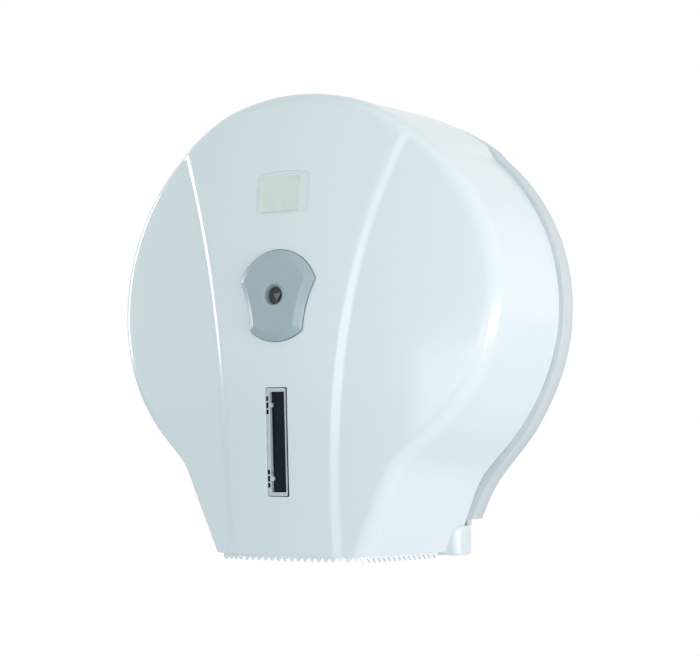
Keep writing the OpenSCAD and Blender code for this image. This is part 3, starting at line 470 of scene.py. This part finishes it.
def panelShare(x, z):  # 1 on the panel, 0 on the cheeks: u^2 (3 - 2u) across the crease
    u = np.clip((creaseX(z) - np.abs(x)) / coverForm["creaseWidth"] + 0.5, 0, 1)
    return u * u * (3 - 2 * u)


def faceDepth(x, z):  # depth of the face: a bow each way, less the panel's step on the cheeks
    c = coverForm
    return (c["faceDepth"] - (z - c["peakZ"]) ** 2 / (2 * c["bowDown"]) - x ** 2 / (2 * c["bowAcross"])
            - c["raise"] * (1 - panelShare(x, z)))


# the hood lifts a ring's point along the drum's normal; it fades out inwards from the crease by
# u^2 (3 - 2u), and reaches further round at the rear
def hoodedPoint(s, end, inset=0.0):
    c, ring = coverForm, coverRing(end, inset)
    x, z = ringPoint(s, ring)
    back = ring["reach"] / (90 - c["arcEnd"]) * c["arcShare"]
    frontX, frontZ = ringPoint(np.maximum(0, s - back), coverRing("front"))
    u = np.clip((creaseX(frontZ) + c["creaseWidth"] / 2 - frontX) / ring["fade"], 0, 1)
    lift = ring["hood"] * u * u * (3 - 2 * u)
    nx, nz = x / ring["width"] ** 2, z / ring["up"] ** 2
    size = np.maximum(np.hypot(nx, nz), 1e-9)
    return x + lift * nx / size, z + lift * nz / size


def wallPoint(s, inset, depth):  # the straight wall line from the rear ring to the front ring
    rearX, rearZ = hoodedPoint(s, "rear", inset)
    frontX, frontZ = hoodedPoint(s, "front", inset)
    g = (depth - coverForm["rearDepth"]) / (coverForm["frontDepth"] - coverForm["rearDepth"])
    return rearX + (frontX - rearX) * g, rearZ + (frontZ - rearZ) * g


# one skin, from the middle line over the face, round the edge by a conic and back along the wall;
# counts are the rows on panel, crease, cheek, edge and wall
def skinRows(s, inset, counts):
    c = coverForm
    depth = np.full_like(s, c["frontDepth"])
    for _ in range(10):  # closes in on where the wall line meets the face
        x, z = wallPoint(s, inset, depth)
        depth = faceDepth(x, z) - inset
    edge = np.stack(wallPoint(s, inset, depth), axis=-1)
    rear = np.stack(wallPoint(s, inset, c["rearDepth"]), axis=-1)
    anchor = np.where(edge[:, 1] > 0, edge[:, 1] * c["anchorShare"], edge[:, 1])
    wallLength = np.sqrt(((edge - rear) ** 2).sum(1) + (depth - c["rearDepth"]) ** 2)
    back = np.minimum(c["edgeLimit"], c["edgeRound"] / wallLength)
    roundEnd = edge + (rear - edge) * back[:, None]
    share = 1 - c["edgeRound"] / np.hypot(edge[:, 0], edge[:, 1] - anchor)
    x0, z0 = edge[:, 0] * share, anchor + (edge[:, 1] - anchor) * share
    crease = creaseX(z0)
    qa = np.minimum(c["panelLimit"], (crease - c["creaseWidth"] / 2) / np.maximum(x0, 1))
    qb = np.minimum(c["creaseLimit"], (crease + c["creaseWidth"] / 2) / np.maximum(x0, 1))
    zero, one = np.zeros_like(s), np.ones_like(s)
    rows = []
    for low, high, count in ((zero, qa, counts[0]), (qa, qb, counts[1]), (qb, one, counts[2])):
        for k in range(count):
            q = low + (high - low) * k / count
            x, z = x0 * q, anchor + (z0 - anchor) * q
            rows.append(np.stack([x, faceDepth(x, z) - inset, z], axis=-1))
    p0 = np.stack([x0, faceDepth(x0, z0) - inset, z0], axis=-1)
    p1 = np.stack([edge[:, 0], depth, edge[:, 1]], axis=-1)
    p2 = np.stack([roundEnd[:, 0], depth + (c["rearDepth"] - depth) * back, roundEnd[:, 1]], axis=-1)
    for u in np.linspace(0, 1, counts[3] + 1):
        weights = (1 - u) ** 2, 2 * u * (1 - u) * c["edgeWeight"], u * u
        rows.append((weights[0] * p0 + weights[1] * p1 + weights[2] * p2) / sum(weights))
    last = np.stack([rear[:, 0], np.full_like(s, c["rearDepth"]), rear[:, 1]], axis=-1)
    for u in np.linspace(0, 1, counts[4] + 1)[1:-1]:
        rows.append(p2 + (last - p2) * u)
    return rows


# the rear rim: a rounded end between the skins
def rimRows(s):
    c = coverForm
    e, w = c["rimEase"], c["wall"]
    line = easeLine([(0, c["rearDepth"] + 2 * e), (0, c["rearDepth"]), (w, c["rearDepth"]),
                     (w, c["rearDepth"] + 2 * e)], e)
    rows = []
    for inset, depth in line:
        x, z = wallPoint(s, inset, depth)
        rows.append(np.stack([x, np.full_like(s, depth), z], axis=-1))
    return rows


# how fine the shell is: runs of stations with their counts, and rows for each skin
coverMesh = {"stations": ((0.0, 0.1, 14), (0.1, 0.215, 32), (0.215, 0.255, 22), (0.255, 0.62, 56),
                          (0.62, 1.0, 56)),
             "outerRows": (26, 12, 22, 10, 12), "innerRows": (10, 6, 8, 6, 6)}


def coverShell():  # outer skin, rear rim and inner skin as one grid, mirrored across X = 0
    runs = [np.linspace(a, b, n, endpoint=False) for a, b, n in coverMesh["stations"]]
    s = np.concatenate(runs + [[1.0]])
    rows = (skinRows(s, 0.0, coverMesh["outerRows"]) + rimRows(s)
            + skinRows(s, coverForm["wall"], coverMesh["innerRows"])[::-1])
    half = np.array(rows)  # rows, stations, (x, depth, z)
    half[:, :, 1] *= -1
    mirrored = half[:, :0:-1] * np.array([-1.0, 1.0, 1.0])
    whole = np.concatenate([mirrored, half], axis=1)
    rowCount, columns = whole.shape[:2]
    faces = gridFaces(rowCount, columns)
    leftFoot = [i * columns for i in range(rowCount)]
    rightFoot = [i * columns + columns - 1 for i in range(rowCount)]
    faces += [leftFoot, rightFoot]
    return makePiece("coverShell", whole, faces, "coverPlastic")


# local frame on the face: +Y runs into the cover, tilted as the face is between two heights
def onFace(points, middle, halfHeight, side=0.0):
    x, y, z = np.asarray(points, float).reshape(-1, 3).T
    top, low = faceDepth(0.0, middle + halfHeight), faceDepth(0.0, middle - halfHeight)
    tilt = math.atan((top - low) / (2 * halfHeight))
    return np.stack([x + side, -faceDepth(0.0, middle) + y * math.cos(tilt) - z * math.sin(tilt),
                     middle + y * math.sin(tilt) + z * math.cos(tilt)], axis=-1)


def onFaceSolid(solid, middle, halfHeight, side=0.0):
    points, faces = solid
    return onFace(points, middle, halfHeight, side), faces


def plateSolid(outline, profile):  # depth counts outwards from the local frame's face, so y = -depth
    return ringSolid(plateRings(outline, profile))


lockForm = {"z": 2.8, "endRadius": 25.8, "sideRadius": 75.0, "topWidth": 24.3, "lowWidth": 16.6, "gap": 0.45,
            "seat": 1.1, "lay": 0.1, "thick": 4.6, "bevelWidth": 4.2, "bevelFall": 2.7, "flat": 2.0,
            "land": 2.5, "boreEase": 0.35, "bore": 5.87, "padRadius": 18.0, "padThick": 3.8, "collar": 7.07,
            "screwX": 13.0, "screwRadius": 1.7, "groove": 0.7}
lockFloor = float(faceDepth(0.0, lockForm["z"])) - lockForm["seat"]


# local frame of the shield: its origin lies on the seat's floor, and it tilts as the face does there
def onShield(points):
    f = lockForm
    return onFace(points, f["z"], f["endRadius"]) + np.array([0.0, f["seat"], 0.0])


# outline of the shield, shrunk by d: two arcs about the lock's axis and two hollow sides, between the
# four corners where they meet
def shieldOutline(d=0.0, steps=22):
    f = lockForm
    big = f["endRadius"]
    a = np.array([f["topWidth"], math.sqrt(big ** 2 - f["topWidth"] ** 2)])
    b = np.array([f["lowWidth"], -math.sqrt(big ** 2 - f["lowWidth"] ** 2)])
    chord = np.linalg.norm(a - b)
    across = np.array([a[1] - b[1], b[0] - a[0]]) / chord
    centre = (a + b) / 2 + across * math.sqrt(f["sideRadius"] ** 2 - (chord / 2) ** 2)
    r, side = big - d, f["sideRadius"] + d
    far = np.linalg.norm(centre)
    along = (r ** 2 - side ** 2 + far ** 2) / (2 * far)
    off = math.sqrt(max(r ** 2 - along ** 2, 0))
    unit = centre / far
    normal = np.array([-unit[1], unit[0]])
    top, low = unit * along + normal * off, unit * along - normal * off
    topAngle, lowAngle = math.atan2(top[1], top[0]), math.atan2(low[1], low[0])
    t = np.linspace(topAngle, math.pi - topAngle, 2 * steps, endpoint=False)
    upper = np.stack([r * np.cos(t), r * np.sin(t)], axis=-1)
    t = np.linspace(math.pi - lowAngle, 2 * math.pi + lowAngle, 2 * steps, endpoint=False)
    lower = np.stack([r * np.cos(t), r * np.sin(t)], axis=-1)
    g = [math.atan2(*(p - centre)[::-1]) % (2 * math.pi) for p in (low, top)]
    t = np.linspace(g[0], g[1], steps, endpoint=False)
    right = centre + side * np.stack([np.cos(t), np.sin(t)], axis=-1)
    left = np.vstack([top[None], right[:0:-1]]) * np.array([-1.0, 1.0])
    return np.vstack([right, upper, left, lower])


# the shield: rings of its outline over the edge and the bevel, then round rings, which are the last one's
# directions times a radius, over the face and down through the bore
def lockPlate():
    f = lockForm
    rear, front = f["lay"], f["lay"] + f["thick"]
    bore, e = f["bore"], f["boreEase"]
    bevel = easeLine([(0.0, rear), (0.0, front - f["bevelFall"]), (f["bevelWidth"], front),
                      (f["bevelWidth"] + f["flat"], front)], [0, 0.7, 1.2, 0], steps=5)
    rings = list(plateRings(shieldOutline, bevel))
    direction = rings[-1] * np.array([1.0, 0.0, 1.0])
    direction /= np.linalg.norm(direction, axis=1)[:, None]
    for radius, depth in ((bore + f["land"], front), (bore + e, front), (bore + 0.3 * e, front - 0.3 * e),
                          (bore, front - e), (bore, rear)):
        rings.append(direction * radius - np.array([0.0, depth, 0.0]))
    points, faces = ringSolid(np.array(rings), hollow=True)
    piece = makePiece("lockShield", onShield(points), faces, "lockPlastic", 40.0)
    return settle(piece, "cover", "lock_plate")


badgeForm = {"z": 60.8, "x": -0.9, "halfWidth": 13.2, "halfHeight": 10.0, "corner": 1.3, "thick": 0.9,
             "edge": 0.7, "slope": 0.2, "fall": 0.18, "field": 3.0, "recess": 1.1, "recessX": 0.7,
             "recessWidth": 17.4, "margin": 3.4, "foot": 1.5, "arc": 90.0, "recessCorner": 2.6,
             "recessEase": 0.15, "around": 1.0, "backStart": 1.3, "backDepth": 3.2}


# the recess: a rounded rectangle whose upper side sinks from the middle by x^2 / (2 arc)
def recessOutline(d=0.0, steps=8, across=24):
    b = badgeForm
    half = b["halfHeight"] + (b["margin"] + b["foot"]) / 2
    flat = roundedRectangle(b["recessWidth"], half, b["recessCorner"], d, steps)
    x = np.linspace(flat[steps - 1, 0], flat[steps, 0], across)[1:-1]
    upper = np.stack([x, np.full(len(x), half - d)], axis=-1)
    flat = np.vstack([flat[:steps], upper, flat[steps:]])
    sink = np.where(flat[:, 1] > 0, flat[:, 0] ** 2 / (2 * b["arc"]), 0.0)
    return np.stack([flat[:, 0], flat[:, 1] - sink + (b["margin"] - b["foot"]) / 2], axis=-1)


def badgePlate():  # a blank plate with a raised edge round its field
    b = badgeForm
    top = b["recess"] - b["thick"]
    sunk = top + b["fall"]
    profile = easeLine([(0.0, -b["recess"]), (0.0, -top), (b["edge"], -top), (b["edge"] + b["slope"], -sunk),
                        (b["field"], -sunk)], [0, 0.25, 0.15, 0.15, 0])
    solid = plateSolid(lambda d: roundedRectangle(b["halfWidth"], b["halfHeight"], b["corner"], d), profile)
    points, faces = onFaceSolid(solid, b["z"], b["halfHeight"], b["x"])
    return settle(makePiece("badgePlate", points, faces, "badgePlastic", 40.0), "cover",
                  "badge_plate")


windowForm = {"z": -79.0, "halfWidth": 7.0, "halfHeight": 30.5, "frameStart": 1.0, "frameDepth": 3.4,
              "frameWidth": 2.0, "corner": 0.9, "mouth": 0.4, "lens": 1.6, "rimX": -0.5, "rimHalf": 6.3,
              "rimWidth": 1.4, "rimLean": 0.5, "rimTop": 0.4, "rimFoot": 1.3, "rimGap": 0.4, "capShare": 1.5,
              "wallShort": 1.5, "clipZ": 20.5, "clipHalf": 5.0, "midGap": 1.6, "bar": 0.8, "gapX": 0.5,
              "gapDepth": 1.9, "gapHalf": (1.1, 2.0), "clipX": 2.4, "clipDepth": 2.2,
              "clipSize": (0.9, 1.0, 1.3), "notch": 1.6, "notchDepth": 2.4, "notchHalf": 1.5}


def onWindow(solid, side=0.0):
    return onFaceSolid(solid, windowForm["z"], windowForm["halfHeight"], side)


hingeForm = {"y": 14.0, "z": -135.0, "inner": 54.6, "outer": 73.0, "back": 8.0, "front": 9.5, "up": 8.0,
             "down": 9.0, "corners": (2.0, 3.0, 3.0, 4.0), "ease": 1.0, "frontEase": 5.0, "pin": 2.5,
             "pinFit": 0.07, "skin": 3.0}


# hinge lug: a rounded outline in Y and Z, carried along X; near the outer end each side draws in by
# r - sqrt(r^2 - t^2), where t is how far x has come into the last r, and r is larger at the front
def hingeLug(side, steps=10):
    h = hingeForm
    corners = np.array([(-h["y"] - h["front"], h["z"] - h["down"]), (-h["y"] + h["back"], h["z"] - h["down"]),
                        (-h["y"] + h["back"], h["z"] + h["up"]), (-h["y"] - h["front"], h["z"] + h["up"])])
    inward = np.array([(0, 1), (-1, 1), (-1, -1), (0, -1)])
    forward = np.array([(1, 0), (0, 0), (0, 0), (1, 0)])

    def drawIn(x, r):
        return r - math.sqrt(r * r - max(0.0, x - (h["outer"] - r)) ** 2)

    bend = h["outer"] - h["frontEase"] * (1 - np.sin(np.linspace(0, np.pi / 2, steps)))
    close = h["outer"] - h["ease"] * (1 - np.sin(np.linspace(0, np.pi / 2, steps)))
    rings = []
    for x in np.unique(np.concatenate([[h["inner"]], bend, close])):
        line = corners + inward * drawIn(x, h["ease"]) + forward * drawIn(x, h["frontEase"])
        flat = easeLine(line, h["corners"], closed=True, steps=6)
        rings.append(np.stack([np.full(len(flat), side * x), flat[:, 0], flat[:, 1]], axis=-1))
    return ringSolid(np.array(rings))


# box about a centre with eased edges: a rounded rectangle in X and Z, carried along Y
def boxSolid(centre, half, ease=0.05):
    profile = easeLine([(2 * ease, -half[1]), (0.0, -half[1]), (0.0, half[1]), (2 * ease, half[1])], ease)
    rings = plateRings(lambda d: roundedRectangle(half[0], half[2], 2 * ease, d, 4), profile)
    points, faces = ringSolid(rings)
    return points + np.asarray(centre, float), faces


# what the cover carries inside: the lock's pad, the window's frame, the badge's backing and the hinge lugs
def coverAdditions():
    f, w, b = lockForm, windowForm, badgeForm
    wide, tall = w["halfWidth"] + w["frameWidth"], w["halfHeight"] + w["frameWidth"]
    frameBlock = plateSolid(lambda d: roundedRectangle(wide, tall, 1.0, d),
                            [(0, -w["frameDepth"]), (0, -w["frameStart"])])
    broad, high = b["recessWidth"] + b["around"], b["halfHeight"] + b["margin"]
    backing = plateSolid(lambda d: roundedRectangle(broad, high, 1.0, d),
                         [(0, -b["backDepth"]), (0, -b["backStart"])])
    return [rodY(f["padRadius"], lockFloor - f["padThick"], lockFloor, 0, f["z"], 96),
            onWindow(frameBlock), onFaceSolid(backing, b["z"] + b["around"], b["halfHeight"], b["recessX"]),
            hingeLug(1), hingeLug(-1)]


# the wide cuts: the window with its rounded mouth, the shield's seat, the badge's recess and the bores
# for the hinge pins; "over" is how far a cut runs past what it cuts
def wideCuts(over=1.0):
    f, w, b, h = lockForm, windowForm, badgeForm, hingeForm
    m, e = w["mouth"], b["recessEase"]
    hole = plateSolid(lambda d: roundedRectangle(w["halfWidth"], w["halfHeight"], w["corner"], d),
                      [(-m - 3 * over, 3 * over), (-m, 0.0), (-0.3 * m, -0.3 * m), (0.0, -m),
                       (0.0, -w["frameDepth"] - over)])
    seat, seatFaces = plateSolid(shieldOutline, [(-f["gap"], 0.0), (-f["gap"], 9 * over)])
    recess = plateSolid(recessOutline, [(-e - over, over), (-e, 0.0), (0.0, -e), (0.0, -b["recess"] + e),
                                        (e, -b["recess"])])
    bores = [rodX(h["pin"] + h["pinFit"], side * (h["inner"] - over), side * (h["outer"] - h["skin"]),
                  -h["y"], h["z"]) for side in (-1, 1)]
    return [onWindow(hole), (onShield(seat), seatFaces),
            onFaceSolid(recess, b["z"], b["halfHeight"], b["recessX"])] + bores


# the fine cuts, made later because they lie within the wide ones: the bores for the lock's collar and
# screws, a shadow groove under the shield's edge, and the notches for the clips in the frame's left wall
def fineCuts(over=1.0):
    f, w = lockForm, windowForm
    rear, front = lockFloor - f["padThick"] - over, lockFloor + over
    bores = [rodY(f["collar"], rear, front, 0, f["z"])]
    bores += [rodY(f["screwRadius"], rear, front, side * f["screwX"], f["z"], 32) for side in (-1, 1)]
    ring = plateRings(shieldOutline, [(-f["gap"], over / 2), (f["groove"], over / 2),
                                      (f["groove"], -f["groove"]), (-f["gap"], -f["groove"])])
    groove, grooveFaces = ringSolid(ring, hollow=True)
    notchSize = w["notch"], w["notchHalf"], w["clipHalf"]
    notches = [onWindow(boxSolid((-w["halfWidth"], w["notchDepth"], z), notchSize))
               for z in (-w["clipZ"], w["clipZ"])]
    return bores + [(onShield(groove), grooveFaces)] + notches


def frontCover():
    piece = coverShell()
    print("cover skin made")
    combine(piece, coverAdditions(), "UNION")
    combine(piece, wideCuts(), "DIFFERENCE")
    combine(piece, fineCuts(), "DIFFERENCE")
    turnOutwards(piece.data)
    shade(piece.data, 32.0)
    print("cover cut:", len(piece.data.polygons), "faces")
    return settle(piece, "cover", "front_cover")


frontCover()
lockPlate()
badgePlate()


def asLens(piece):  # the pane, the rim and the clips stand for the lens together
    return settle(piece, "cover", "window_lens")


def windowPane():  # a dark pane behind the frame
    w = windowForm
    near, far = -w["frameDepth"], -w["frameDepth"] - w["lens"]
    wide, tall = w["halfWidth"] + w["frameWidth"], w["halfHeight"] + w["frameWidth"]
    profile = easeLine([(1.0, far), (0.0, far), (0.0, near), (1.0, near)], 0.25)
    points, faces = onWindow(plateSolid(lambda d: roundedRectangle(wide, tall, 0.6, d), profile))
    return asLens(makePiece("windowPane", points, faces, "smokedLens", 40.0))


# a clear rim in the window's mouth: the left leg is wider than the right one by its lean, and the caps at
# both ends than both; a wall runs back from the left leg, and three gaps at each clip leave two bars
def windowRim():
    w = windowForm
    profile = easeLine([(0.0, -w["rimFoot"]), (0.0, -w["rimTop"]), (w["rimWidth"], -w["rimTop"]),
                        (w["rimWidth"], -w["rimFoot"])], 0.25, closed=True)
    tall = w["halfHeight"] - w["rimGap"]

    def outline(d):
        flat = roundedRectangle(w["rimHalf"] - d, tall - w["capShare"] * d, max(1.0 - d, 0.2))
        return flat + np.array([w["rimLean"] * d, 0.0])

    points, faces = onWindow(ringSolid(plateRings(outline, profile), hollow=True), w["rimX"])
    piece = makePiece("windowRim", points, faces, "clearRim", 40.0)
    left, leg = w["rimX"] - w["rimHalf"], w["rimWidth"] * (1 + w["rimLean"])
    middle, half = (w["rimTop"] + w["frameDepth"]) / 2, (w["frameDepth"] - w["rimTop"]) / 2
    wall = boxSolid((left + leg / 2 + 0.05, middle + 0.1, 0.0),
                    (leg / 2 - 0.1, half - 0.15, w["halfHeight"] - w["wallShort"]))
    combine(piece, [onWindow(wall)], "UNION")
    inner, outer, end = w["midGap"], w["midGap"] + w["bar"], w["clipHalf"]
    gaps = [onWindow(boxSolid((left + w["gapX"], w["gapDepth"], z + (low + high) / 2),
                              (*w["gapHalf"], (high - low) / 2)))
            for z in (-w["clipZ"], w["clipZ"])
            for low, high in ((-end, -outer), (-inner, inner), (outer, end))]
    combine(piece, gaps, "DIFFERENCE")
    turnOutwards(piece.data)
    shade(piece.data, 40.0)
    return asLens(piece)


def windowClips():  # a rounded snap clip beside each group of gaps
    w = windowForm
    x = w["rimX"] - w["rimHalf"] + w["clipX"]
    points, faces = joinSolids([onWindow(boxSolid((x, w["clipDepth"], z), w["clipSize"], 0.3))
                                for z in (-w["clipZ"], w["clipZ"])])
    return asLens(makePiece("windowClips", points, faces, "clearRim", 40.0))


windowPane()
windowRim()
windowClips()
print("window made")


# CAD nodes with small edges: a merged copy of the mesh gets eased edges and even shading; each has its
# piece's name, body, slot, finish and the width of the ease in millimetres
easedNodes = {
    "back_plate": ("backPlate", "base", "back_plastic", "platePlastic", 0.4),
    "spindle_post": ("spindlePost", "base", "white_plastic", "whitePlastic", 0.4),
    "thrust_washer": ("thrustWasher", "base", "washer_plastic", "washerPlastic", 0.15),
    "hub_retainer": ("hubRetainer", "base", "steel", "zincSteel", 0.2),
    "lock_keeper": ("lockKeeper", "base", "steel", "zincSteel", 0.3),
    "roll_hub": ("rollHub", "hub", "hub_plastic", "whitePlastic", 0.4),
    "lock_housing": ("lockHousing", "cover", "housing_plastic", "housingPlastic", 0.25),
    "lock_cam": ("lockCam", "lock", "steel", "zincSteel", 0.25),
    "lock_core": ("lockPlug", "lock", "plug_plastic", "plugPlastic", 0.2),
}


easing = {"merge": 0.002, "flatAngle": 0.5, "edgeAngle": 40.0, "segments": 2, "sharp": 35.0}


def easedCopy(node, name, body, slot, material, width):
    mesh = nodes[node].data.copy()
    mesh.materials.clear()
    mesh.materials.append(materials[material])
    work = bmesh.new()
    work.from_mesh(mesh)
    bmesh.ops.remove_doubles(work, verts=work.verts, dist=easing["merge"] * mm)
    bmesh.ops.dissolve_limit(work, angle_limit=math.radians(easing["flatAngle"]), verts=work.verts,
                             edges=work.edges)
    work.to_mesh(mesh)
    work.free()
    if "custom_normal" in mesh.attributes:
        mesh.attributes.remove(mesh.attributes["custom_normal"])
    piece = bpy.data.objects.new(name, mesh)
    bpy.context.scene.collection.objects.link(piece)
    ease = piece.modifiers.new("ease", "BEVEL")
    ease.width = width * mm
    ease.segments = easing["segments"]
    ease.limit_method = "ANGLE"
    ease.angle_limit = math.radians(easing["edgeAngle"])
    applied(piece)
    shade(piece.data, easing["sharp"])
    return settle(piece, body, node)


for cadNode, wanted in easedNodes.items():
    easedCopy(cadNode, *wanted)
print("eased copies made")


# CAD nodes that stay as they are, with a finish of their own
nodeFinishes = {
    "hinge_pins": "zincSteel", "post_screws": "zincSteel", "keeper_screws": "zincSteel",
    "housing_screws": "zincSteel", "lock_washer": "zincSteel", "cam_screw": "zincSteel",
    "tear_strip": "stripPlastic", "strip_rivets": "whitePlastic",
}
for cadNode, finishName in nodeFinishes.items():
    nodes[cadNode].data.materials.clear()
    nodes[cadNode].data.materials.append(materials[finishName])
print("node finishes set")


# studio: a pale floor under the object, soft lights low on the right and low in front, weak ones at the
# front left and above, and a narrow one on the left that draws the crease

studio = {"floorZ": -0.30, "floorHalf": 8.0, "floorLow": tone(238, 240, 242),
          "floorHigh": tone(243, 245, 247), "aim": (0.0, -0.05, 0.0), "worldLevel": 0.635,
          "worldTone": (0.885, 0.985, 1.0, 1.0), "white": (1.0, 1.0, 1.0, 1.0)}

lamps = {
    "sideLow": {"from": (1.5, -0.3, -0.12), "size": (1.2, 0.25), "power": 9.6, "tone": (1.0, 0.9, 0.92)},
    "frontLow": {"from": (0.8, -1.8, -0.08), "size": (1.7, 0.38), "power": 4.7, "tone": (1.0, 1.0, 1.0)},
    "frontLeft": {"from": (-1.0, -1.6, 0.6), "size": (1.2, 1.2), "power": 1.0, "tone": (1.0, 1.0, 1.0)},
    "over": {"from": (0.3, -0.3, 1.6), "size": (1.6, 1.2), "power": 1.8, "tone": (1.0, 1.0, 1.0)},
    "leftStrip": {"from": (-1.1, -0.02, 0.2), "size": (0.17, 0.46), "power": 1.7, "tone": (1.0, 1.0, 1.0)},
}


def makeLamp(name, look):  # a flat lamp that faces the aim, with its width level
    data = bpy.data.lights.new(name, "AREA")
    data.shape = "RECTANGLE"
    data.size, data.size_y = look["size"]
    data.energy = look["power"]
    data.color = look["tone"]
    back = np.array(look["from"]) - np.array(studio["aim"])
    back /= np.linalg.norm(back)
    right = np.cross((0, 0, 1), back)
    right /= np.linalg.norm(right)
    lamp = bpy.data.objects.new(name, data)
    lamp.matrix_world = placed(right, np.cross(back, right), back, look["from"])
    bpy.context.scene.collection.objects.link(lamp)


def makeFloor():  # pale paint that the camera sees as white, and nothing at all from below
    z, half = studio["floorZ"], studio["floorHalf"]
    corners = [(-half, -half, z), (half, -half, z), (half, half, z), (-half, half, z)]
    mesh = bpy.data.meshes.new("floor")
    mesh.from_pydata(corners, [], [(0, 1, 2, 3)])
    finish = Finish("floorFinish")
    rays = finish.tree.nodes.new("ShaderNodeLightPath")
    seen = Wire(finish.tree, rays.outputs["Is Camera Ray"])
    below = finish.add("ShaderNodeNewGeometry", output=6)
    mottle = finish.blend(finish.noise(2.0, 2.0), studio["floorLow"], studio["floorHigh"])
    paint = finish.add("ShaderNodeBsdfDiffuse", {}, {"Color": mottle})
    glow = finish.add("ShaderNodeEmission", {}, {"Color": studio["white"], "Strength": 1.0})
    surface = finish.add("ShaderNodeMixShader", {}, {0: seen, 1: paint, 2: glow})
    clear = finish.add("ShaderNodeBsdfTransparent")
    shown = finish.add("ShaderNodeMixShader", {}, {0: below, 1: surface, 2: clear})
    finish.add("ShaderNodeOutputMaterial", {}, {"Surface": shown})
    mesh.materials.append(finish.target)
    floor = bpy.data.objects.new("floor", mesh)
    bpy.context.scene.collection.objects.link(floor)


def makeWorld():  # soft light all round, which the camera, gloss and clear plastic see as white
    world = bpy.data.worlds.new("world")
    finish = Finish("world", world)
    rays = finish.tree.nodes.new("ShaderNodeLightPath")
    seen = Wire(finish.tree, rays.outputs["Is Camera Ray"])
    for name in ("Is Glossy Ray", "Is Transmission Ray"):
        seen = seen.atLeast(Wire(finish.tree, rays.outputs[name]))
    look = {"Color": studio["worldTone"], "Strength": studio["worldLevel"]}
    soft = finish.add("ShaderNodeBackground", {}, look)
    white = finish.add("ShaderNodeBackground", {}, {"Color": studio["white"], "Strength": 1.0})
    shown = finish.add("ShaderNodeMixShader", {}, {0: seen, 1: soft, 2: white})
    finish.add("ShaderNodeOutputWorld", {}, {"Surface": shown})
    bpy.context.scene.world = world


makeFloor()
makeWorld()
for lampName, lampLook in lamps.items():
    makeLamp(lampName, lampLook)
bpy.context.scene.view_settings.view_transform = "Standard"
print("studio made")
